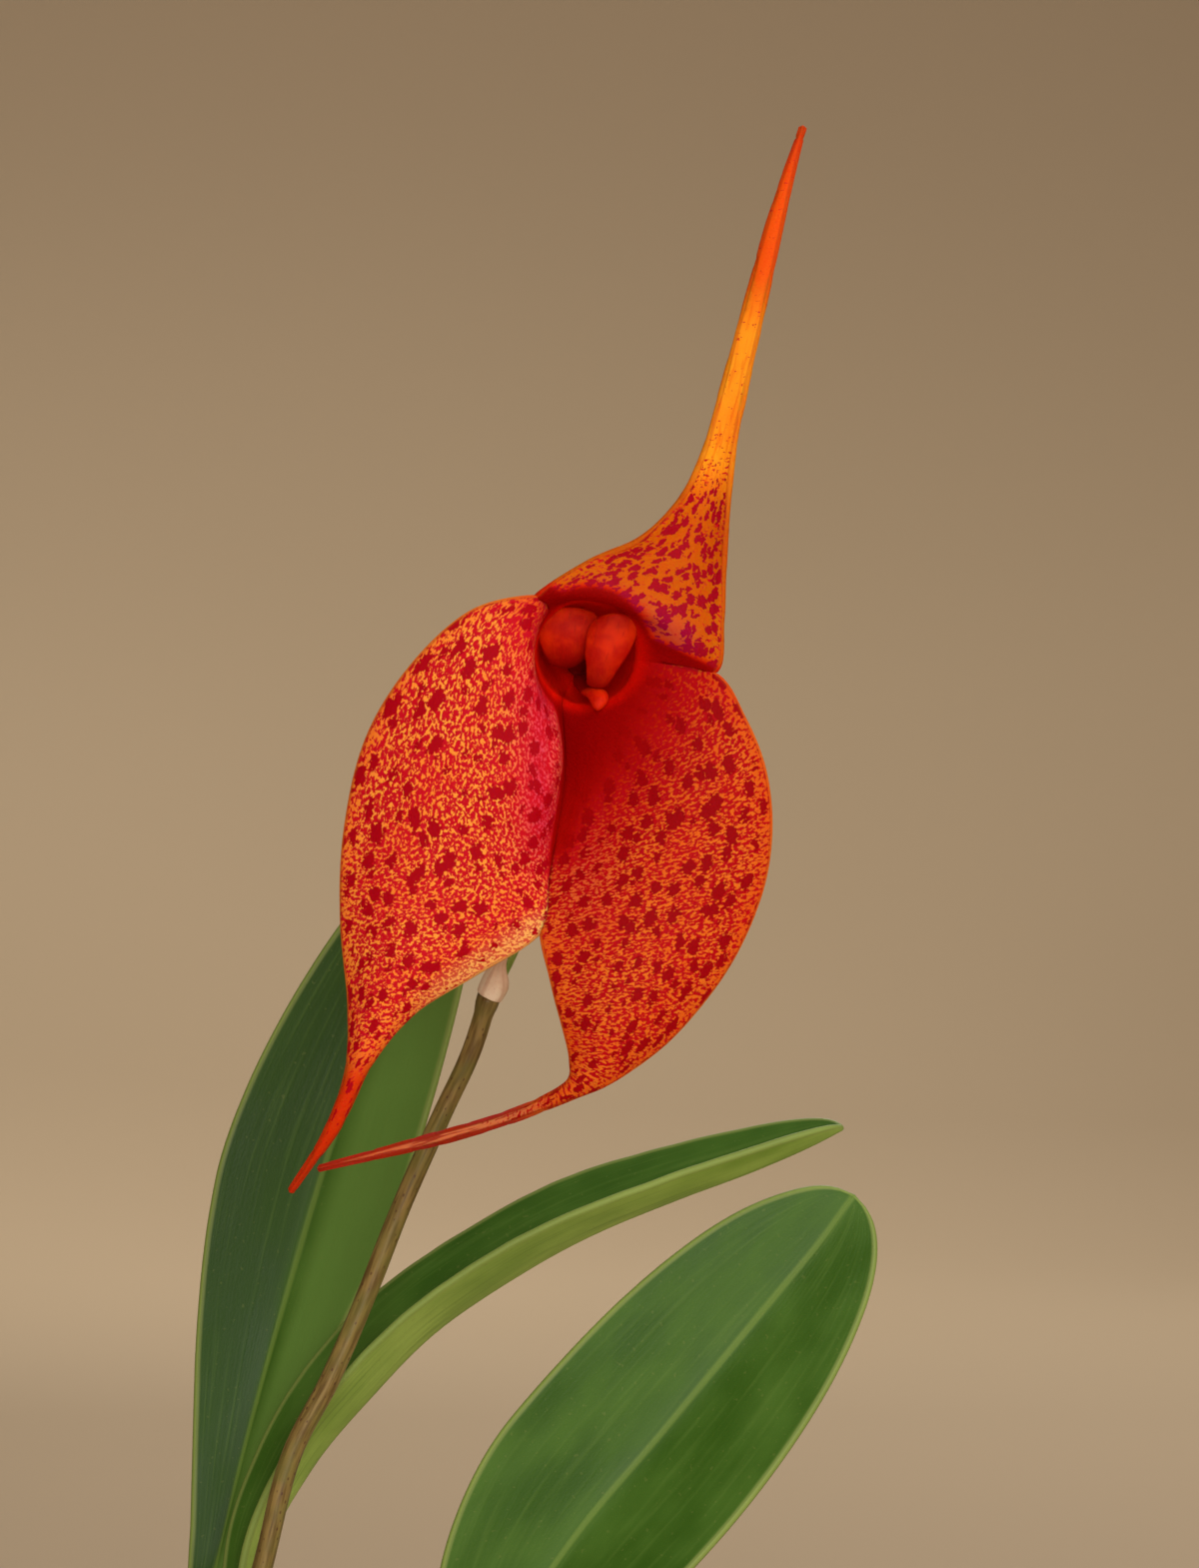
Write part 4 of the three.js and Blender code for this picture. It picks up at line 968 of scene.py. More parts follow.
# %% Tongues of flesh
def tongue_shape(path, half_widths, thickness, front, tip_round):
    line = SmoothLine(path)
    widths = SmoothLine([[width, 0, 0] for width in half_widths])
    share = 1 - (1 - np.linspace(0, 1, 61)) ** 1.3
    across = front * np.linspace(-1, 1, 31)
    half = widths.at(share * widths.last)[:, 0]
    closing = np.clip((share - (1 - tip_round)) / tip_round, 0, 0.99)
    half = half * np.sqrt(1 - closing**4)
    heading = line.heading(share)
    back = front * np.stack([0 * share, heading[:, 2], -heading[:, 1]], -1)
    places = line.at_share(share)[:, None] + 0 * across[None, :, None]
    places[..., 0] += half[:, None] * across
    curl = 0.45 * half[:, None] * (1 - np.sqrt(1 - 0.8 * across**2))
    places = places + back[:, None] * curl[..., None]
    halves = thickness / 2 * (1 - 0.35 * across**2) * np.sqrt(1 - 0.5 * closing[:, None] ** 2)
    edge = half[:, None] * (1 - np.abs(across))
    marks = np.stack([half[:, None] * across, np.broadcast_to(share[:, None] * line.length, edge.shape),
                      edge, np.broadcast_to(share[:, None], edge.shape)], -1)
    sheet = Sheet()
    sheet.grid(in_pot_frame(places), halves, marks)
    return sheet.thick()


COLUMN_PATH = [[-1, -0.5, -15.9], [-0.9, -0.1, -13.5], [-0.4, 0.7, -11], [0, 1.6, -8.8], [0.1, 1.8, -7.4]]
COLUMN_RADII = [1.2, 0.85, 0.75, 0.85, 0.6]
PETAL_PATHS = {
    "petal_left": [[-2.8, 0, -13.6], [-2.9, -0.5, -10.4], [-2.7, -0.8, -7.8], [-2.5, 0.4, -6],
                   [-2.4, 2.6, -5.1], [-2.2, 5.2, -5.3]],
    "petal_right": [[1.1, -0.6, -13.6], [1.4, -1.5, -10.4], [1.0, -2.8, -7.4], [1.0, -2.9, -5.2],
                    [1.9, 0.2, -3.8], [3.0, 4.5, -3.8]],
}
PETAL_HALF_WIDTHS = {
    "petal_left": [0.7, 0.9, 1.1, 1.3, 1.8, 2.5, 3.0, 3.2, 3.0],
    "petal_right": [0.7, 0.9, 0.9, 0.9, 1.0, 1.5, 2.2, 2.5, 2.4],
}
LIP_PATH = [[-0.8, -2.2, -13.5], [-0.4, -3.0, -11], [0.2, -3.8, -8.4], [0.6, -3.9, -6.6], [0.9, -4.3, -5.2],
            [1.0, -5.0, -4.4], [0.9, -5.9, -4.1]]
LIP_HALF_WIDTHS = [0.8, 1, 1, 0.95, 1, 1.1, 1, 0.85, 0.5]
FLESHY = 1.0
print("the petals and the lip are", FLESHY, "mm thick")

# %% [markdown]
# The flesh of the petals is waxy and lets light through, so its red glows. Below the skin a little
# of the light scatters, far in red and hardly at all in green and blue. Faint darker veins run
# along each petal.

# %% Finish of the petals and build them
def petal_finish():
    glow = {"Subsurface_Weight": 0.6, "Subsurface_Radius": (1.0, 0.12, 0.03), "Subsurface_Scale": 1.6 * MM}
    flesh = Finish("waxy_red_petal", Roughness=0.6, Specular_IOR_Level=0.08, **glow)
    flow = flesh.attribute("flow")
    share = flesh.attribute("zone")[0]
    streaks = flesh.noise(flesh.join(flow[0], flesh.times(flow[1], 0.18), 3.3), 2.6, 2.0)
    cloud = flesh.noise(flesh.place(), 420.0, 2.0)
    colour = flesh.mix(flesh.soft(cloud, 0.35, 0.7), rgb(178, 14, 0), rgb(212, 42, 0))
    colour = flesh.mix(flesh.soft(streaks, 0.58, 0.72, 0.0, 0.35), colour, rgb(150, 10, 4))
    colour = flesh.mix(flesh.soft(share, 0.75, 0.45), colour, rgb(140, 4, 0))
    flesh.colour(colour)
    grain = flesh.cells(flesh.place(), 3800.0)
    flesh.bump(flesh.math("ADD", grain, flesh.times(streaks, 1.5)), 0.05, 0.5)
    return flesh


petal_flesh = petal_finish()
TONGUE_LAYOUT = ("flow", "zone")
for petal_name, petal_path in PETAL_PATHS.items():
    petal = tongue_shape(petal_path, PETAL_HALF_WIDTHS[petal_name], FLESHY, front=1, tip_round=0.14)
    make_piece(petal_name + "_flesh", petal, TONGUE_LAYOUT, petal_flesh, [petal_name])
lip = tongue_shape(LIP_PATH, LIP_HALF_WIDTHS, FLESHY, front=-1, tip_round=0.2)
make_piece("lip_tongue", lip, TONGUE_LAYOUT, petal_flesh, ["lip"])


def flower_line(path):
    return SmoothLine(in_pot_frame(np.array(path, float)))


def column_radius(share, angle):
    hood = 1 + 0.1 * np.cos(2 * angle) * smooth(share, 0.6, 0.9)
    return along(COLUMN_RADII, share) * hood * np.sqrt(1 - 0.7 * smooth(share, 0.93, 1.0))


column = tube(flower_line(COLUMN_PATH), column_radius, sides=40, steps=80)
make_piece("column_rod", column, ("flow",), petal_flesh, ["column"])

# %% [markdown]
# ## Ovary and its stalk
# Behind the tube the flower narrows into a six-ribbed green ovary, and that into the thin stalk
# that carries it. It is one tube along one line. Its radius swells towards the flower, and a
# cosine of the angle raises the six ribs.

# %% Ovary
OVARY_PATH = [[18.45, -6.5, 199.7], [21.3, -7.6, 205.6], [24.6, -8, 213.5], [27.4, -7.7, 224],
              [28.8, -7.6, 231.5], [29.2, -8.6, 235.8], [29, -11.4, 237.4], [28.9, -12.5, 237.5]]
OVARY_RIBS = 6
STALK_OF_OVARY, OVARY_RADIUS = 0.85, 1.75
ovary_line = SmoothLine(OVARY_PATH)


def ovary_radius(share, angle):
    swelling = smooth(share, 0.55, 0.78)
    grooved = 1 + 0.07 * swelling * np.cos(OVARY_RIBS * angle) + 0.012 * np.cos(3 * angle)
    return mix(STALK_OF_OVARY, OVARY_RADIUS, swelling) * grooved


def ovary_finish():
    glow = {"Subsurface_Weight": 0.1, "Subsurface_Scale": 0.5 * MM}
    skin = Finish("green_ovary_skin", Roughness=0.45, Specular_IOR_Level=0.35, **glow)
    flow = skin.attribute("flow")
    stretched = skin.join(flow[0], flow[1], skin.times(flow[2], 0.22))
    streaks = skin.noise(stretched, 2.2, 3.0)
    specks = skin.noise(skin.join(flow[0], flow[1], flow[2]), 4.5, 1.0)
    colour = skin.mix(skin.soft(streaks, 0.35, 0.65), rgb(116, 150, 58), rgb(160, 182, 96))
    colour = skin.mix(skin.soft(flow[2], 28, 38), colour, rgb(168, 140, 82))
    colour = skin.mix(skin.soft(specks, 0.62, 0.7, 0.0, 0.6), colour, rgb(128, 62, 44))
    inside_tube = skin.soft(flow[2], ovary_line.length - 0.5, ovary_line.length - 0.2)
    colour = skin.mix(inside_tube, colour, rgb(150, 8, 2))
    skin.colour(colour)
    skin.bump(streaks, 0.08, 0.6)
    return skin


ovary = tube(ovary_line, ovary_radius, sides=72, steps=180)
make_piece("ovary_and_stalk", ovary, ("flow",), ovary_finish(), ["ovary_pedicel"])

# %% [markdown]
# ## Flower stem
# The stem (a botanist's peduncle) is wiry and brownish olive, with fine streaks along it and small
# dark specks. The streaks are a noise stretched about ten times along the stem, read from the
# straightened coordinates, so that they bend with it. The stem is drawn 0.4 mm longer than in the
# CAD model, which leaves only a hair's breadth below the ovary's stalk.

# %% Stem
STEM_PATH = [[-14.6, 6.3, 71], [-15.4, 3.4, 92], [-13.2, 0.4, 114], [-7.8, -1.2, 133.7], [-4.6, -1.5, 146.2],
             [0, -1.8, 155.4], [4, -2, 164.6], [8.1, -2.5, 175], [12.7, -3.5, 185.4], [16.2, -5, 192.9],
             [18.3, -6.4, 199.2]]
STEM_END_DRAWN = [18.4, -6.45, 199.6]
STEM_RADII = [1.27, 1.1]
stem_line = SmoothLine(STEM_PATH)


def stem_radius(share, angle):
    fluted = 1 + 0.018 * np.cos(5 * angle + 3 * share) + 0.01 * np.sin(60 * share)
    foot = 1 + 0.1 * np.exp(-share * 40)
    node = 1 + 0.22 * smooth(share, 0.982, 0.996)
    return along(STEM_RADII, share) * fluted * foot * node


def stem_finish():
    bark = Finish("olive_brown_stem", Roughness=0.46, Specular_IOR_Level=0.35)
    flow = bark.attribute("flow")
    stretched = bark.join(flow[0], flow[1], bark.times(flow[2], 0.09))
    streaks = bark.noise(stretched, 2.4, 3.0)
    patches = bark.noise(bark.join(flow[0], flow[1], flow[2]), 0.22, 2.0)
    colour = bark.mix(bark.soft(streaks, 0.35, 0.65), rgb(96, 74, 34), rgb(136, 112, 60))
    colour = bark.mix(bark.soft(patches, 0.4, 0.65, 0.0, 0.5), colour, rgb(104, 104, 44))
    colour = bark.mix(bark.soft(flow[2], 75, 20), colour, rgb(82, 88, 30))
    specks = bark.cells(bark.join(flow[0], flow[1], bark.times(flow[2], 0.6)), 1.3)
    colour = bark.mix(bark.soft(specks, 0.2, 0.12, 0.0, 0.7), colour, rgb(70, 34, 24))
    bark.colour(colour)
    bark.bump(bark.math("ADD", streaks, bark.times(specks, 0.3)), 0.08, 0.5)
    return bark


stem = tube(SmoothLine([*STEM_PATH[:-1], STEM_END_DRAWN]), stem_radius, sides=40, steps=300)
make_piece("flower_stem_skin", stem, ("flow",), stem_finish(), ["flower_stem"])

# %% [markdown]
# ## Papery bracts and sheaths
# Where a stem or a leaf starts, a papery tube clasps it, brown and dry like onion skin. It is a
# sheet rolled round the stalk, with fine ribs, a slanting mouth and a slightly torn rim. The
# finish draws brown ribs on straw and wears the rim darker.

# %% Rolled sheets
PAPER_SIDES = 72


def rolled_shape(centres, middle_radii, half, ribs, rib_height):
    """A tube of paper: centres and middle_radii have a row for each step up and a column for each side."""
    angles = np.linspace(0, 2 * math.pi, PAPER_SIDES + 1)
    radii = middle_radii + rib_height * np.cos(ribs * angles)
    places = centres.copy()
    places[..., 0] += radii * np.cos(angles)
    places[..., 1] += radii * np.sin(angles)
    places[:, -1] = places[:, 0]
    steps_up = np.linalg.norm(np.diff(places, axis=0), axis=-1)
    up = np.concatenate([np.zeros((1, PAPER_SIDES + 1)), np.cumsum(steps_up, 0)])
    to_rim = up[-1] - up
    marks = np.stack([radii * np.cos(angles), radii * np.sin(angles), up, to_rim,
                      np.broadcast_to(ribs * angles, up.shape)], -1)
    sheet = Sheet()
    sheet.grid(places, np.full(up.shape, half), marks)
    return sheet.thick()


def paper_finish(name, pale, brown, vein):
    paper_skin = Finish(name, Roughness=0.72, Specular_IOR_Level=0.25)
    flow, zone = paper_skin.attribute("flow"), paper_skin.attribute("zone")
    stretched = paper_skin.join(flow[0], flow[1], paper_skin.times(flow[2], 0.12))
    fibres = paper_skin.noise(stretched, 3.4, 3.0)
    blots = paper_skin.noise(paper_skin.join(flow[0], flow[1], flow[2]), 0.5, 3.0)
    rib = paper_skin.math("COSINE", zone[1])
    colour = paper_skin.mix(paper_skin.soft(blots, 0.35, 0.7), pale, brown)
    colour = paper_skin.mix(paper_skin.soft(rib, 0.6, 1.0, 0.0, 0.6), colour, vein)
    colour = paper_skin.mix(paper_skin.soft(fibres, 0.55, 0.75, 0.0, 0.6), colour, vein)
    colour = paper_skin.mix(paper_skin.soft(zone[0], 1.6, 0.2, 0.0, 0.7), colour, vein)
    paper_skin.colour(colour)
    paper_skin.bump(paper_skin.math("ADD", fibres, paper_skin.times(blots, 0.6)), 0.12, 0.7)
    return paper_skin


straw = paper_finish("dry_straw_sheath", rgb(196, 170, 122), rgb(150, 112, 70), rgb(98, 66, 40))
SHEATH_GAP, SHEATH_WALL, SHEATH_FLARE = 0.45, 0.7, 0.55
STEM_BRACT_GAP, STEM_BRACT_WALL, STEM_BRACT_FLARE = 0.3, 0.65, 0.5
STEM_BRACT_FROM, STEM_BRACT_TO = 0.3, 0.39


def torn(angles, depth):
    teeth = np.sin(5 * angles + 1) + 0.6 * np.sin(13 * angles) + 0.4 * np.sin(29 * angles + 2)
    return 1 - depth * (0.5 + 0.25 * teeth)


def stem_bract_shape():
    rows = np.linspace(0, 1, 25)[:, None]
    angles = np.linspace(0, 2 * math.pi, PAPER_SIDES + 1)[None, :]
    slant = (1 - 0.25 * (1 + np.cos(angles))) * torn(angles, 0.06 * rows)
    centres = stem_line.at_share(mix(STEM_BRACT_FROM, STEM_BRACT_TO, rows * slant))
    middle = STEM_RADII[0] + STEM_BRACT_GAP + STEM_BRACT_WALL / 2 + STEM_BRACT_FLARE * rows**2 + 0 * angles
    return rolled_shape(centres, middle, half=0.26, ribs=10, rib_height=0.06)


make_piece("stem_bract_paper", stem_bract_shape(), ("flow", "zone"), straw, ["stem_bract"])

# %% [markdown]
# ## Floral bract
# Just below the flower a small bract, pale and pinkish, holds the foot of the ovary's stalk from
# one side. It is a scale that wraps most of the way round at its foot and narrows to a point.

# %% Floral bract
BRACT_HEIGHT, BRACT_HALF, BRACT_GAP = 6.0, 0.24, 0.4
BRACT_BULGE, BRACT_RIB_HEIGHT = 0.16, 0.03


def floral_bract_shape():
    base = ovary_line.at_share(0.0)
    direction = unit(ovary_line.at_share(0.12) - base)
    outward = np.array([-0.55, -0.75, 0.0])
    outward = unit(outward - direction * outward.dot(direction))
    sideways = np.cross(direction, outward)
    up = np.linspace(0, 1, 49)[:, None]
    across = np.linspace(-1, 1, 33)[None, :]
    wrap = math.pi * mix(0.7, 0.22, smooth(up, 0.1, 0.8)) * np.sqrt(np.maximum(0.006, 1 - up**3))
    radius = STALK_OF_OVARY + BRACT_GAP + BRACT_BULGE * np.sin(up**0.7 * math.pi)
    radius = radius + BRACT_RIB_HEIGHT * np.cos(14 * across)
    centre = base + (up * BRACT_HEIGHT)[..., None] * direction
    angle = wrap * across
    places = centre + (radius * np.cos(angle))[..., None] * outward
    places = places + (radius * np.sin(angle))[..., None] * sideways
    edge = np.minimum(radius * wrap * (1 - np.abs(across)), (1 - up) * BRACT_HEIGHT)
    up_mm = up * BRACT_HEIGHT + 0 * angle
    marks = np.stack([radius * angle, up_mm, 0 * angle, edge, 9 * across + 0 * angle], -1)
    sheet = Sheet()
    sheet.grid(places, np.full(places.shape[:2], BRACT_HALF), marks)
    return sheet.thick()


pale_pink = paper_finish("pale_pink_bract", rgb(248, 230, 206), rgb(240, 210, 182), rgb(214, 174, 146))
floral_bract = floral_bract_shape()
make_piece("floral_bract_scale", floral_bract, ("flow", "zone"), pale_pink, ["floral_bract"])

# %% [markdown]
# ## Leaves
# A masdevallia has no bulbs: each leaf stands on its own channelled stalk. The blade is thick and
# leathery, folded along its midrib like a shallow keel. The upper face is dark green with a waxy
# bloom, and the under face is paler, with the midrib raised. The sheet maker gives both faces, and
# the mark for the side tells the finish which one it is on. Two values of facing and of fold are
# for the foot and the tip: where the upper face looks, and how far each half is folded up, in degrees.

# %% Shape of a leaf
STALK_RADIUS = 1.25
WAVE_HEIGHT, PUCKER_HEIGHT = 0.5, 0.07
LEAF_NUMBER_STEP = 19.0
LEAVES = {
    "leaf_left": {
        "midrib": [[-20, 8, 71], [-19.6, 9, 90], [-17.4, 13.6, 114], [-12.8, 21, 137.4], [-7, 25, 160],
                   [0.4, 27, 184.7], [9.4, 28.5, 207.6], [17.6, 30, 223.2]],
        "facing": ([-0.6, -1, 0.1], [-0.08, -1, 0.1]),
        "fold": (48, 15), "half_width": 12.6, "thickness": 1.2,
        "stalk_end": 0.26, "widest": 0.7, "tip_start": 0.66, "tip_power": 1.7, "tip_round": 0.75,
    },
    "leaf_arching": {
        "midrib": [[-10, 5, 71], [-11.2, 5, 92], [-11.1, 6, 113], [-9, 8, 132.3], [-3.4, 9.6, 143.8],
                   [4.5, 10, 153.3], [11.9, 10, 160.6], [21.7, 10, 167.2], [30.2, 10, 171.8],
                   [39.9, 10, 175.8], [49, 10, 179.2], [59.3, 10, 183.6]],
        "facing": ([-1, -0.35, 0.35], [-0.7, -0.21, 1]),
        "fold": (52, 34), "half_width": 9.8, "thickness": 1.2,
        "stalk_end": 0.25, "widest": 0.62, "tip_start": 0.6, "tip_power": 2.25, "tip_round": 0.5,
    },
    "leaf_right": {
        "midrib": [[8, 6, 71], [8.5, 6, 85], [11.4, 6.3, 100.5], [16.6, 6.8, 115.5], [22.6, 7.1, 127.6],
                   [29.2, 7.8, 137.2], [38.3, 9.4, 147.8], [50, 12, 161.6], [56.6, 13.3, 169.4],
                   [60.9, 14, 175.2]],
        "facing": ([-0.3, -1, 0.15], [-0.1, -1, 0.2]),
        "fold": (46, 13), "half_width": 15, "thickness": 1.3,
        "stalk_end": 0.2, "widest": 0.62, "tip_start": 0.62, "tip_power": 2.1, "tip_round": 0.5,
    },
}


def leaf_half_width(leaf, share):
    blade = mix(STALK_RADIUS, leaf["half_width"], smooth(share, leaf["stalk_end"], leaf["widest"]))
    toward_tip = np.maximum(0, (share - leaf["tip_start"]) / (1 - leaf["tip_start"]))
    return np.maximum(0.5, blade * (1 - toward_tip ** leaf["tip_power"]) ** leaf["tip_round"])


def leaf_half_thickness(leaf, share, half_width, across):
    stalk = STALK_RADIUS * np.sqrt(np.maximum(0.06, 1 - across**2))
    blade = leaf["thickness"] / 2 * (1.25 - 0.55 * np.abs(across))
    at_tip = blade * mix(0.55, 1, smooth(half_width, 0.5, 5))
    below = mix(stalk, blade, smooth(half_width, STALK_RADIUS, 2.4 * STALK_RADIUS))
    return np.where(share > leaf["widest"], at_tip, below)


def leaf_shape(leaf, number):
    line = SmoothLine(leaf["midrib"])
    share = 1 - (1 - np.linspace(0, 1, 151)) ** 1.15
    across = np.linspace(-1, 1, 49)[None, :]
    heading = line.heading(share)
    facing = mix(np.array(leaf["facing"][0], float), np.array(leaf["facing"][1], float), share[:, None])
    up = unit(facing - heading * (facing * heading).sum(1, keepdims=True))
    sideways = np.cross(heading, up)
    half_width = leaf_half_width(leaf, share)[:, None]
    fold = np.radians(along(leaf["fold"], share))[:, None]
    opening = smooth(half_width, 1.5 * STALK_RADIUS, 3.5 * STALK_RADIUS)
    fold = fold * np.where(share[:, None] > leaf["widest"], 1, opening)
    raised = np.sqrt(across**2 + 0.02) - math.sqrt(0.02)
    spread, lift = half_width * across * np.cos(fold), half_width * raised * np.sin(fold)
    places = line.at_share(share)[:, None] + spread[..., None] * sideways[:, None]
    places = places + lift[..., None] * up[:, None]
    blade = smooth(half_width, 3, 8)
    for i in range(places.shape[0]):
        for j in range(places.shape[1]):
            at = Vector(places[i, j])
            wave = WAVE_HEIGHT * noise.noise(at * 0.045) + PUCKER_HEIGHT * noise.noise(at * 0.3)
            places[i, j] += up[i] * wave * blade[i, 0] * abs(across[0, j])
    halves = leaf_half_thickness(leaf, share[:, None], half_width, across)
    across_mm = half_width * across
    along_mm = np.broadcast_to(share[:, None] * line.length, across_mm.shape)
    edge = half_width * (1 - np.abs(across)) + 0 * across_mm
    marks = np.stack([across_mm, along_mm, number + 0 * edge, edge, across + 0 * edge,
                      np.broadcast_to(share[:, None], edge.shape)], -1)
    sheet = Sheet()
    sheet.grid(places, halves, marks)
    return sheet.thick()


for leaf_name, leaf in LEAVES.items():
    leaf_width = 2 * leaf_half_width(leaf, np.linspace(0, 1, 101)).max()
    print(leaf_name, "is", round(leaf_width, 1), "mm wide, measured flat")

# %% [markdown]
# ## Leaves: their finish
# The finish of the leaf is made of faint veins that run the length of the blade, a broad cloudiness,
# a paler line along the midrib and a thin pale margin. A slight bump of cell-like grain breaks up
# the gloss, as the cuticle of a thick leaf does. On the tallest leaf one half has a painted shade
# and the other a painted grey sheen: the mark for across the blade tells them apart.

# %% Finish of the leaves, and build them
def leaf_finish():
    skin = Finish("waxy_leathery_leaf", Roughness=0.5, Specular_IOR_Level=0.22)
    flow, zone, turn = skin.attribute("flow"), skin.attribute("zone"), skin.attribute("turn")
    edge, across, side = zone[0], zone[1], turn[0]
    fan = skin.join(skin.times(across, 13.0), skin.times(flow[1], 0.035), flow[2])
    veins = skin.noise(fan, 1.6, 2.0)
    cloud = skin.noise(skin.join(flow[0], skin.times(flow[1], 0.5), flow[2]), 0.13, 3.0)
    upper = skin.mix(skin.soft(cloud, 0.3, 0.72), rgb(50, 86, 16), rgb(70, 106, 32))
    is_left_leaf = skin.math("LESS_THAN", flow[2], LEAF_NUMBER_STEP / 2)
    # Painted shade on one half of the left leaf, and a painted grey sheen on the other half.
    painted_shade_half = skin.times(is_left_leaf, skin.soft(across, 0.08, -0.2, 0.0, 0.75))
    upper = skin.mix(painted_shade_half, upper, rgb(34, 66, 4))
    painted_sheen_half = skin.times(is_left_leaf, skin.soft(across, 0.0, 0.35, 0.0, 0.8))
    upper = skin.mix(painted_sheen_half, upper, rgb(106, 144, 64))
    upper = skin.mix(skin.soft(veins, 0.5, 0.75, 0.0, 0.2), upper, rgb(98, 128, 54))
    under = skin.mix(skin.soft(cloud, 0.3, 0.72), rgb(124, 156, 58), rgb(160, 188, 88))
    under = skin.mix(skin.soft(veins, 0.5, 0.75, 0.0, 0.4), under, rgb(96, 124, 44))
    colour = skin.mix(skin.soft(side, 0.5, -0.5), upper, under)
    middle = skin.math("ABSOLUTE", flow[0])
    colour = skin.mix(skin.soft(middle, 0.75, 0.2, 0.0, 0.5), colour, rgb(120, 146, 62))
    colour = skin.mix(skin.soft(edge, 0.5, 0.1, 0.0, 0.6), colour, rgb(136, 150, 78))
    colour = skin.mix(skin.soft(zone[2], 0.2, 0.02, 0.0, 0.6), colour, rgb(126, 138, 70))
    specks = skin.noise(skin.join(flow[0], flow[1], flow[2]), 1.6, 1.0)
    colour = skin.mix(skin.soft(specks, 0.68, 0.76, 0.0, 0.2), colour, rgb(120, 130, 66))
    skin.colour(colour)
    skin.roughness(skin.soft(cloud, 0.3, 0.7, 0.46, 0.58))
    grain = skin.cells(skin.join(flow[0], skin.times(flow[1], 0.6), flow[2]), 3.2)
    skin.bump(skin.math("ADD", veins, skin.times(grain, 0.4)), 0.05, 0.6)
    return skin


leaf_skin = leaf_finish()
for leaf_number, (leaf_name, leaf) in enumerate(LEAVES.items()):
    shape = leaf_shape(leaf, LEAF_NUMBER_STEP * leaf_number)
    make_piece(leaf_name + "_blade", shape, ("flow", "zone", "turn"), leaf_skin, [leaf_name])

# %% [markdown]
# ## Sheaths of the leaves
# A new leaf pushes up through a sheath, which dries and stays round the foot of its stalk. It is
# rolled from the same paper as the bract low on the stem, follows the line of its own leaf and has
# a slanting mouth. The heights differ, as they do on leaves of different ages.

# %% Sheaths round the leaf stalks
SHEATH_HEIGHTS = {"left": 26, "arching": 22, "right": 17}


def sheath_shape(leaf, height):
    line = SmoothLine(leaf["midrib"])
    rows = np.linspace(0, 1, 33)[:, None]
    angles = np.linspace(0, 2 * math.pi, PAPER_SIDES + 1)[None, :]
    slant = (1 - 0.18 * (1 + np.cos(angles)) * rows) * torn(angles, 0.05 * rows)
    centres = line.at_share(height / line.length * rows * slant)
    middle = STALK_RADIUS + SHEATH_GAP + SHEATH_WALL / 2 + SHEATH_FLARE * rows**3 + 0 * angles
    return rolled_shape(centres, middle, half=0.27, ribs=12, rib_height=0.07)


for side, height in SHEATH_HEIGHTS.items():
    sheath = sheath_shape(LEAVES["leaf_" + side], height)
    make_piece("sheath_paper_" + side, sheath, ("flow", "zone"), straw, ["sheath_" + side])

# %% [markdown]
# ## Rhizome and roots
# The leaves stand in a row on a creeping rhizome, which has knuckles and sends cream coloured roots
# over the edge of the bark. The tubes overlap where a root leaves the rhizome. A voxel remesh
# melts them into one skin, as the real ones have, and then each point of that skin is told how
# far it is from the rhizome's own line.

# %% Rhizome
RHIZOME_PATH = [[-25.5, 9.5, 67.5], [-20, 8, 68.2], [-10, 5, 68.3], [0, 4.4, 68.2], [8, 6, 68.2],
                [13.5, 8.5, 67.3]]
RHIZOME_RADIUS = 2.2
ROOTS = [
    [[-23.5, 9, 68], [-26, 5, 68.6], [-27.5, 0.5, 66], [-27, -2, 56], [-24, -3, 42]],
    [[-16, 6.9, 68.6], [-15.5, 12, 69.6], [-14, 16.5, 67], [-12.5, 18.5, 56], [-13, 19, 44]],
    [[-5, 4.4, 68.7], [-3.5, -0.5, 69.7], [-2.5, -6, 67], [-3, -9, 56], [-5, -11, 38]],
    [[3, 4.7, 68.4], [4, 10, 69.4], [6, 15, 66.5], [8, 17, 55], [8.5, 18, 40]],
    [[11, 7, 67.9], [16, 5.5, 68.8], [20.5, 2.5, 66], [22, 0.5, 55], [21, -1, 43]],
]
ROOT_RADII = [1.15, 0.6]
rhizome_line = SmoothLine(RHIZOME_PATH)
root_lines = [SmoothLine(path) for path in ROOTS]


def end_taper(share):
    return np.sqrt(np.maximum(0.15, 1 - np.abs(2 * share - 1) ** 6))


def rhizome_radius(share, angle):
    return RHIZOME_RADIUS * (1 + 0.1 * np.cos(share * math.pi * 14)) * end_taper(share)


def root_radius(share, angle):
    return along(ROOT_RADII, share) * (1 + 0.04 * np.sin(50 * share + angle))


def melted(shapes, voxel_mm):
    """Joins closed shapes and gives them one skin by a voxel remesh. Returns vertices and faces in mm."""
    bm = bmesh.new()
    for places, faces, _ in shapes:
        vertices = [bm.verts.new(place) for place in places]
        for face in faces:
            bm.faces.new([vertices[k] for k in face])
    mesh = bpy.data.meshes.new("melting")
    bm.to_mesh(mesh)
    bm.free()
    obj = bpy.data.objects.new("melting", mesh)
    bpy.context.scene.collection.objects.link(obj)
    remesh = obj.modifiers.new("skin", "REMESH")
    remesh.mode = "VOXEL"
    remesh.voxel_size = voxel_mm
    soften = obj.modifiers.new("soften", "SMOOTH")
    soften.factor = 0.5
    soften.iterations = 3
    result = obj.evaluated_get(bpy.context.evaluated_depsgraph_get()).to_mesh()
    places = np.array([vertex.co for vertex in result.vertices])
    faces = [list(face.vertices) for face in result.polygons]
    bpy.data.objects.remove(obj)
    return places, faces


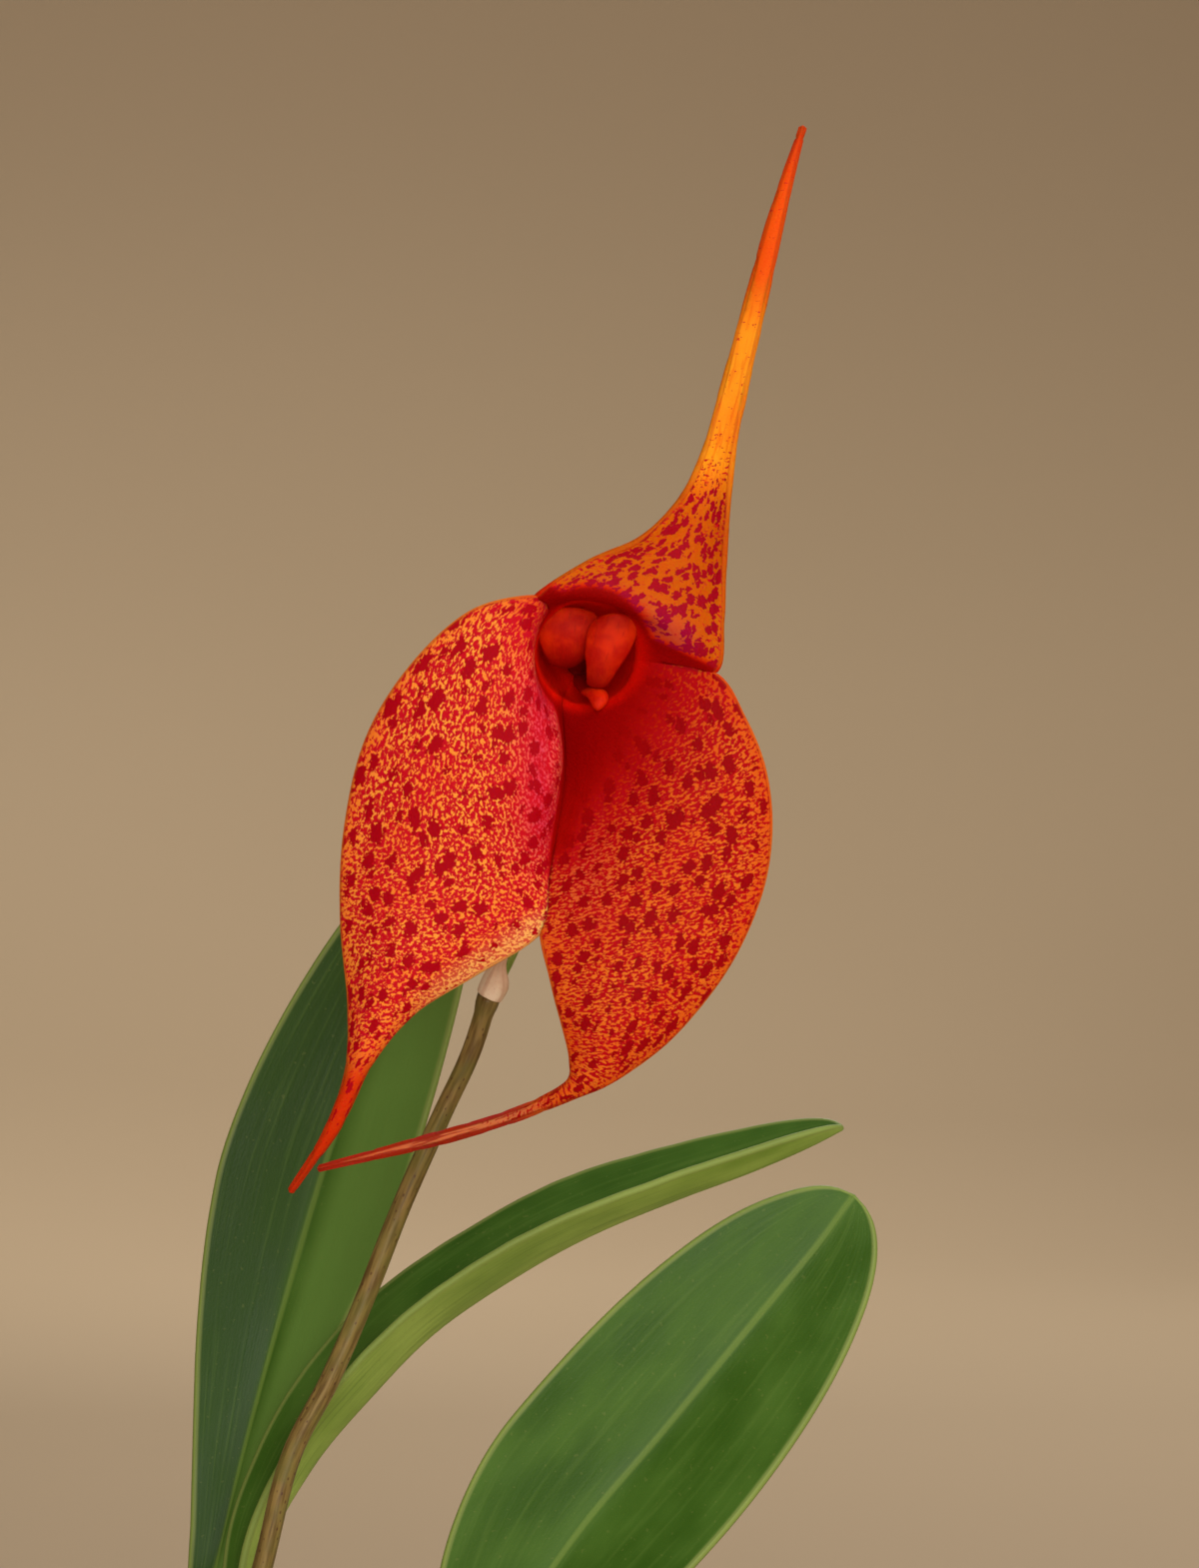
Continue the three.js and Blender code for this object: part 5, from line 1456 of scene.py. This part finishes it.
rhizome_parts = [tube(rhizome_line, rhizome_radius, sides=32, steps=120)]
rhizome_parts += [tube(line, root_radius, sides=20, steps=80) for line in root_lines]
rhizome_places, rhizome_faces = melted(rhizome_parts, voxel_mm=0.3)
rhizome_dense = rhizome_line.at(np.linspace(0, rhizome_line.last, 120))
from_rhizome = np.linalg.norm(rhizome_places[:, None] - rhizome_dense[None], axis=-1).min(1)
rhizome_marks = [[(from_rhizome[v], 0, 0) for v in face] for face in rhizome_faces]


def root_finish():
    skin = Finish("cream_root_skin", Roughness=0.68, Specular_IOR_Level=0.25)
    distance = skin.attribute("flow")[0]
    fine = skin.noise(skin.place(), 900.0, 3.0)
    broad = skin.noise(skin.place(), 160.0, 3.0)
    root = skin.mix(skin.soft(broad, 0.3, 0.7), rgb(206, 196, 156), rgb(160, 142, 100))
    stock = skin.mix(skin.soft(broad, 0.35, 0.65), rgb(116, 104, 52), rgb(94, 66, 36))
    colour = skin.mix(skin.soft(distance, 2.6, 3.6), stock, root)
    colour = skin.mix(skin.soft(fine, 0.55, 0.75, 0.0, 0.5), colour, rgb(112, 86, 54))
    skin.colour(colour)
    skin.bump(skin.math("ADD", fine, broad), 0.18, 0.7)
    return skin


rhizome_shape = (rhizome_places, rhizome_faces, rhizome_marks)
make_piece("rhizome_and_roots", rhizome_shape, ("flow",), root_finish(), ["rhizome"])

# %% [markdown]
# ## Clay pot
# A plain thrown pot: a wall that leans outwards, a thick band round the rim, a flat foot and four
# drain holes. A turned profile makes it, as a potter's wheel does, with the corners of the profile
# rounded off first. The drain holes are cut with a boolean, which leaves a clean edge in the floor.

# %% Profile of the pot
POT_HEIGHT, RIM_RADIUS, RIM_BAND, FOOT_RADIUS, WALL, FLOOR = 80, 46, 16, 31, 4.5, 6
DRAINS, DRAIN_RING, DRAIN_RADIUS = 4, 17, 4
POT_SIDES = 160
BAND_FOOT, BODY_TOP = POT_HEIGHT - RIM_BAND, RIM_RADIUS - 3.5
CORNER_ROUNDING, CORNER_STEPS = 1.6, 6
RING_HEIGHT, OVAL_HEIGHT = 0.12, 0.1


def inner_radius(z):
    return mix(FOOT_RADIUS, BODY_TOP, z / BAND_FOOT) - WALL


def rounded(corners, radius, steps):
    """Cuts each inner corner of an open profile and puts a smooth bend of a few points there."""
    result = [np.array(corners[0], float)]
    for before, corner, after in zip(corners, corners[1:], corners[2:]):
        before, corner, after = (np.array(p, float) for p in (before, corner, after))
        reach = min(radius, np.linalg.norm(before - corner) / 2.2, np.linalg.norm(after - corner) / 2.2)
        start = corner + unit(before - corner) * reach
        end = corner + unit(after - corner) * reach
        for t in np.linspace(0, 1, steps):
            result.append((1 - t) ** 2 * start + 2 * t * (1 - t) * corner + t**2 * end)
    return result + [np.array(corners[-1], float)]


def pot_profile():
    corners = [
        [0, 0], [FOOT_RADIUS, 0], [mix(FOOT_RADIUS, BODY_TOP, 0.5), BAND_FOOT / 2],
        [BODY_TOP, BAND_FOOT - 0.4], [RIM_RADIUS, BAND_FOOT + 0.2], [RIM_RADIUS, POT_HEIGHT],
        [RIM_RADIUS - WALL, POT_HEIGHT], [inner_radius(BAND_FOOT), BAND_FOOT], [inner_radius(FLOOR), FLOOR],
        [0, FLOOR],
    ]
    bends = rounded(corners, CORNER_ROUNDING, CORNER_STEPS)
    profile = []
    for low, high in zip(bends, bends[1:]):
        steps = max(1, int(np.linalg.norm(high - low) / 3.0))
        profile += [tuple(mix(low, high, k / steps)) for k in range(steps)]
    return profile + [(0, FLOOR)]


def pot_shape():
    """The turned pot, its wall moved in and out a little as fingers on the wheel leave it."""
    places, faces = turned(pot_profile(), POT_SIDES)
    places = np.array(places, float)
    angle = np.arctan2(places[:, 1], places[:, 0])
    height = places[:, 2]
    throwing = RING_HEIGHT * np.sin(height * 1.9) + OVAL_HEIGHT * np.sin(2 * angle + height / 30)
    outer = smooth(np.hypot(places[:, 0], places[:, 1]), 25, 30)
    wall = outer * smooth(height, 2, 8) * (1 - smooth(height, 60, 66))
    places[:, :2] *= (1 + throwing * wall / 40)[:, None]
    return places, faces


pot_places, pot_faces = pot_shape()
pot_marks = [[(0, 0, 0) for _ in face] for face in pot_faces]
print("faces of the turned pot:", len(pot_faces))

# %% [markdown]
# ## Clay pot: its finish and its drain holes
# Unglazed clay is porous. Salts from the water dry on it as pale clouds, mostly higher up, the foot
# stays damp and darker, and the wheel leaves faint rings. Each of these is a noise, the height or
# both, mixed over the colour of the clay. The holes come last, once the pot is a closed mesh.

# %% Finish of the clay, the pot and its drain holes
def clay_finish():
    clay = Finish("weathered_terracotta", Roughness=0.86, Specular_IOR_Level=0.2)
    place = clay.place()
    height = clay.node("SeparateXYZ", {0: place}).outputs[2]
    grain = clay.noise(place, 1400.0, 3.0)
    cloud = clay.noise(place, 45.0, 4.0, 0.6)
    rings = clay.noise(clay.scaled(place, (6.0, 6.0, 260.0)), 1.0, 3.0)
    colour = clay.mix(clay.soft(cloud, 0.3, 0.7), rgb(172, 92, 58), rgb(196, 116, 78))
    colour = clay.mix(clay.soft(rings, 0.5, 0.8, 0.0, 0.35), colour, rgb(150, 74, 46))
    salt = clay.times(clay.soft(cloud, 0.52, 0.72), clay.soft(height, 0.03, 0.068, 0.15, 0.7))
    colour = clay.mix(salt, colour, rgb(214, 190, 168))
    damp = clay.times(clay.soft(height, 0.022, 0.004), clay.soft(cloud, 0.35, 0.6, 0.3, 0.9))
    colour = clay.mix(damp, colour, rgb(120, 66, 44))
    pits = clay.cells(place, 520.0)
    colour = clay.mix(clay.soft(pits, 0.16, 0.08, 0.0, 0.6), colour, rgb(96, 50, 34))
    clay.colour(colour)
    relief = clay.math("MULTIPLY_ADD", rings, 1.6, clay.times(clay.soft(pits, 0.05, 0.2), 0.8))
    clay.bump(clay.math("ADD", relief, grain), 0.16, 0.8)
    return clay


pot_data = (pot_places, pot_faces, pot_marks)
pot = make_piece("terracotta_pot", pot_data, ("flow",), clay_finish(), ["pot"])


def drill(target, x, y, radius_mm, low_mm, high_mm):
    places, faces = turned([(0, low_mm), (radius_mm, low_mm), (radius_mm, high_mm), (0, high_mm)], 48)
    mesh = bpy.data.meshes.new("drill")
    mesh.from_pydata([((px + x) * MM, (py + y) * MM, pz * MM) for px, py, pz in places], [], faces)
    bit = bpy.data.objects.new("drill", mesh)
    bpy.context.scene.collection.objects.link(bit)
    cut = target.modifiers.new("hole", "BOOLEAN")
    cut.operation = "DIFFERENCE"
    cut.solver = "EXACT"
    cut.object = bit
    drilled = bpy.data.meshes.new_from_object(target.evaluated_get(bpy.context.evaluated_depsgraph_get()))
    target.modifiers.remove(cut)
    target.data = drilled
    bpy.data.objects.remove(bit)


for k in range(DRAINS):
    drain_angle = 2 * math.pi * (k + 0.5) / DRAINS
    drain_x, drain_y = DRAIN_RING * math.cos(drain_angle), DRAIN_RING * math.sin(drain_angle)
    drill(pot, drain_x, drain_y, DRAIN_RADIUS, low_mm=-1, high_mm=FLOOR + 1)
pot.data.set_sharp_from_angle(angle=math.radians(40))
print("pot faces after drilling:", len(pot.data.polygons))

# %% [markdown]
# ## Bark mix
# An orchid grows in coarse chips of bark, not in soil. The large chips lie where the CAD model has
# them, drawn from the same seeded numbers. Smaller ones fill the spaces between, over a dark bed
# of crumbs. A chip is a block whose sides are divided, knocked about by noise and split in layers
# along its length. Chips are pushed clear of the roots, the stalks and the pot's wall. Each chip
# has a number, which sets its tone, and those from a certain number on are as dark as the bed.

# %% Bark chips
MIX_TOP = 68.5
CHIP_COUNT, CHIP_LENGTH, CHIP_WIDTH, CHIP_HEIGHT = 34, 14, 9.5, 4.6
SMALL_CHIPS, FIRST_SMALL_NUMBER, FIRST_SMALL_SEED, DARK_FROM = 150, 40, 50, 90
CHIP_SPREAD, SMALL_SPREAD = 35, 36.5
CHIP_ROUGHNESS, BED_ROUGHNESS = [(1, 0.55), (2.7, 0.28), (6.1, 0.14)], [(0.35, 0.9), (1.1, 0.5)]
BED_FOOT, BED_TOP, BED_RINGS, BED_SIDES = 50, MIX_TOP - 1.2, 60, 144
MIX_RADIUS = inner_radius(MIX_TOP - 5)
GOLDEN_ANGLE = math.pi * (3 - math.sqrt(5))
BLOCK_CORNERS = [(1, 1, 1), (1, 1, -1), (1, -1, 1), (1, -1, -1),
                 (-1, 1, -1), (-1, 1, 1), (-1, -1, -1), (-1, -1, 1)]


def seeded(seed):
    state = seed
    while True:
        state = (state * 1664525 + 1013904223) % 4294967296
        yield state / 4294967296


def turn(rx, ry, rz):
    return np.array(Matrix.Rotation(rz, 3, "Z") @ Matrix.Rotation(ry, 3, "Y") @ Matrix.Rotation(rx, 3, "X"))


def divided_block(cuts):
    bm = bmesh.new()
    bmesh.ops.create_cube(bm, size=2)
    bmesh.ops.subdivide_edges(bm, edges=bm.edges[:], cuts=cuts, use_grid_fill=True)
    places = np.array([vertex.co for vertex in bm.verts])
    faces = [[vertex.index for vertex in face.verts] for face in bm.faces]
    bm.free()
    return places, faces


def layered_noise(at, layers):
    """A sum of noises, from a list of how fine and how high each is."""
    return sum(height * noise.noise(at * fineness) for fineness, height in layers)


def chip_places(block, corners, seed):
    """Bends the unit block into the eight corners and roughens it in layers."""
    share = (block + 1) / 2
    places = np.zeros_like(block)
    for signs, corner in corners.items():
        weights = [share[:, k] if signs[k] > 0 else 1 - share[:, k] for k in range(3)]
        places += (weights[0] * weights[1] * weights[2])[:, None] * np.array(corner)
    round_off = 1 - 0.1 * smooth(np.sort(np.abs(block), axis=1)[:, 1], 0.72, 1.0)
    places *= round_off[:, None]
    outward = unit(block)
    for k, place in enumerate(places):
        at = Vector((place[0] * 0.09, place[1] * 0.45, place[2] * 1.3)) + Vector((seed * 7.1, seed * 3.3, 0))
        places[k] += outward[k] * layered_noise(at, CHIP_ROUGHNESS)
    return places


big_block, small_block = divided_block(9), divided_block(4)
print("a big chip has", len(big_block[1]), "faces and a small one", len(small_block[1]))

# %% [markdown]
# ## Bark mix: its roots and stalks kept free
# Chips lie round the roots and stalks, not through them. Letting them fall in a simulation would be
# one way. It is quicker to measure how far each point of a chip is from the line of each root and
# from each stalk, and to push the points that are too close straight out to a clear distance.

# %% Keep the chips clear of what stands among them
STALK_FEET = [np.array(leaf["midrib"][0][:2]) for leaf in LEAVES.values()]
STALK_CLEARANCE = STALK_RADIUS + SHEATH_GAP + SHEATH_WALL + 0.45
STEM_CLEARANCE = STEM_RADII[0] + 0.6
CORDS = [(rhizome_line.at(np.linspace(0, rhizome_line.last, 60)), RHIZOME_RADIUS + 0.45)]
CORDS += [(line.at(np.linspace(0, line.last, 60)), ROOT_RADII[0] + 0.4) for line in root_lines]


def pushed_clear(places):
    for knots, clearance in CORDS:
        apart = places[:, None] - knots[None]
        distance = np.linalg.norm(apart, axis=-1)
        nearest = distance.argmin(1)
        rows = np.arange(len(places))
        close = distance[rows, nearest]
        push = np.maximum(0, clearance - close)
        places = places + apart[rows, nearest] / np.maximum(close, 1e-6)[:, None] * push[:, None]
    feet = [(foot, STALK_CLEARANCE) for foot in STALK_FEET] + [(np.array(STEM_PATH[0][:2]), STEM_CLEARANCE)]
    for foot, clearance in feet:
        apart = places[:, :2] - foot
        distance = np.linalg.norm(apart, axis=1)
        push = np.where(places[:, 2] > MIX_TOP - 0.6, np.maximum(0, clearance - distance), 0)
        places[:, :2] += apart / np.maximum(distance, 1e-6)[:, None] * push[:, None]
    radius = np.linalg.norm(places[:, :2], axis=1)
    limit = MIX_RADIUS - 0.4
    places[:, :2] *= np.minimum(1, limit / np.maximum(radius, 1e-6))[:, None]
    return places


print("chips stay", round(STALK_CLEARANCE, 2), "mm from the middle of a leaf's stalk")

# %% [markdown]
# ## Bark mix: large and small chips
# The chips are laid out on a spiral that turns by the golden angle, like the seeds of a sunflower,
# which spreads them evenly without rows. Their sizes and tilts are drawn from seeded numbers, so
# that the mix is the same each time.

# %% Lay out the chips
def polar(radius, angle, height):
    return np.array([radius * math.cos(angle), radius * math.sin(angle), height])


def big_chips():
    draw = seeded(7)
    for k in range(CHIP_COUNT):
        size = 0.75 + 0.5 * next(draw)
        corners = {}
        for signs in BLOCK_CORNERS:
            length = signs[0] / 2 * size * CHIP_LENGTH * (0.85 + 0.3 * next(draw))
            width = signs[1] / 2 * size * CHIP_WIDTH * (0.8 + 0.4 * next(draw))
            height = signs[2] / 2 * CHIP_HEIGHT * (0.75 + 0.5 * next(draw))
            corners[signs] = (length, width, height)
        tilt = turn(0.35 * (next(draw) - 0.5), 0.35 * (next(draw) - 0.5), 2 * math.pi * next(draw))
        radius, angle = CHIP_SPREAD * math.sqrt((k + 0.5) / CHIP_COUNT), k * GOLDEN_ANGLE
        centre = polar(radius, angle, MIX_TOP - 0.3 + 1.4 * next(draw))
        yield chip_places(big_block[0], corners, k) @ tilt.T + centre, big_block[1], k


def small_chips():
    draw = seeded(23)
    for k in range(SMALL_CHIPS):
        length, width, height = 2.4 + 3.6 * next(draw), 1.6 + 2.2 * next(draw), 0.9 + 1.1 * next(draw)
        corners = {s: (s[0] * length / 2, s[1] * width / 2, s[2] * height / 2) for s in BLOCK_CORNERS}
        tilt = turn(0.9 * (next(draw) - 0.5), 0.9 * (next(draw) - 0.5), 2 * math.pi * next(draw))
        radius, angle = SMALL_SPREAD * math.sqrt((k + 0.5) / SMALL_CHIPS), k * GOLDEN_ANGLE + 1.1
        centre = polar(radius, angle, MIX_TOP + 0.4 + 1.6 * next(draw))
        places = chip_places(small_block[0], corners, FIRST_SMALL_SEED + k) @ tilt.T + centre
        yield places, small_block[1], FIRST_SMALL_NUMBER + k


# %% [markdown]
# ## Bark mix: its bed and its finish
# Under the chips lies a closed disc with an uneven top, which fills the gaps between them. It and
# all the chips become one mesh, because hundreds of loose objects are slow to work with. The finish
# turns each chip's number into a tone of its own, so that neighbours differ.

# %% The bed of crumbs, its finish, and the whole mix
def bed_of_crumbs():
    """A closed disc of mix under the chips, uneven on top."""
    radii = np.linspace(MIX_RADIUS - 0.6, 0.6, BED_RINGS)
    top = [(radius, BED_TOP) for radius in [*radii, 0]]
    places, faces = turned([(0, BED_FOOT), (inner_radius(BED_FOOT) - 0.8, BED_FOOT), *top], BED_SIDES)
    places = np.array(places, float)
    for k, place in enumerate(places):
        if place[2] > mix(BED_FOOT, BED_TOP, 0.5):
            places[k, 2] += layered_noise(Vector(place), BED_ROUGHNESS)
    return places, faces


def bark_shape():
    bed_places, bed_faces = bed_of_crumbs()
    chips = [*big_chips(), *small_chips()]
    parts = [(bed_places, bed_faces, DARK_FROM)]
    parts += [(pushed_clear(places), faces, number) for places, faces, number in chips]
    all_faces, all_marks, count = [], [], 0
    for places, faces, number in parts:
        all_faces += [[v + count for v in face] for face in faces]
        all_marks += [[(number, 0, 0)] * len(face) for face in faces]
        count += len(places)
    return np.vstack([places for places, _, _ in parts]), all_faces, all_marks


def bark_finish():
    bark = Finish("rough_bark_chips", Roughness=0.92, Specular_IOR_Level=0.15)
    number = bark.attribute("flow")[0]
    place = bark.place()
    lot = bark.node("TexWhiteNoise", {"W": number}, noise_dimensions="1D").outputs["Value"]
    shifted = bark.node("VectorMath", {0: place, 1: bark.join(lot, number, lot)}, operation="ADD").outputs[0]
    layers = bark.noise(bark.scaled(shifted, (1.0, 1.0, 5.0)), 260.0, 4.0, 0.6, 0.8)
    fine = bark.noise(place, 1300.0, 3.0)
    colour = bark.mix(bark.soft(lot, 0.1, 0.9), rgb(84, 52, 32), rgb(138, 94, 60))
    colour = bark.mix(bark.soft(layers, 0.35, 0.68), colour, rgb(58, 36, 24))
    colour = bark.mix(bark.soft(fine, 0.58, 0.75, 0.0, 0.6), colour, rgb(166, 126, 88))
    crumbs = bark.mix(fine, rgb(48, 32, 22), rgb(86, 60, 40))
    colour = bark.mix(bark.math("GREATER_THAN", number, DARK_FROM - 0.5), colour, crumbs)
    bark.colour(colour)
    bark.bump(bark.math("ADD", layers, bark.times(fine, 0.5)), 0.35, 0.9)
    return bark


bark_data = bark_shape()
make_piece("bark_chips", bark_data, ("flow",), bark_finish(), ["bark_mix"])

# %% [markdown]
# ## Size
# The box round the dressed model is printed in millimetres, as the CAD box was at the start.

# %% Write the sizes and finish
visual_box = [list(corner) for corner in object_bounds()]
print("visual box in mm:", [[round(value / MM, 1) for value in corner] for corner in visual_box])
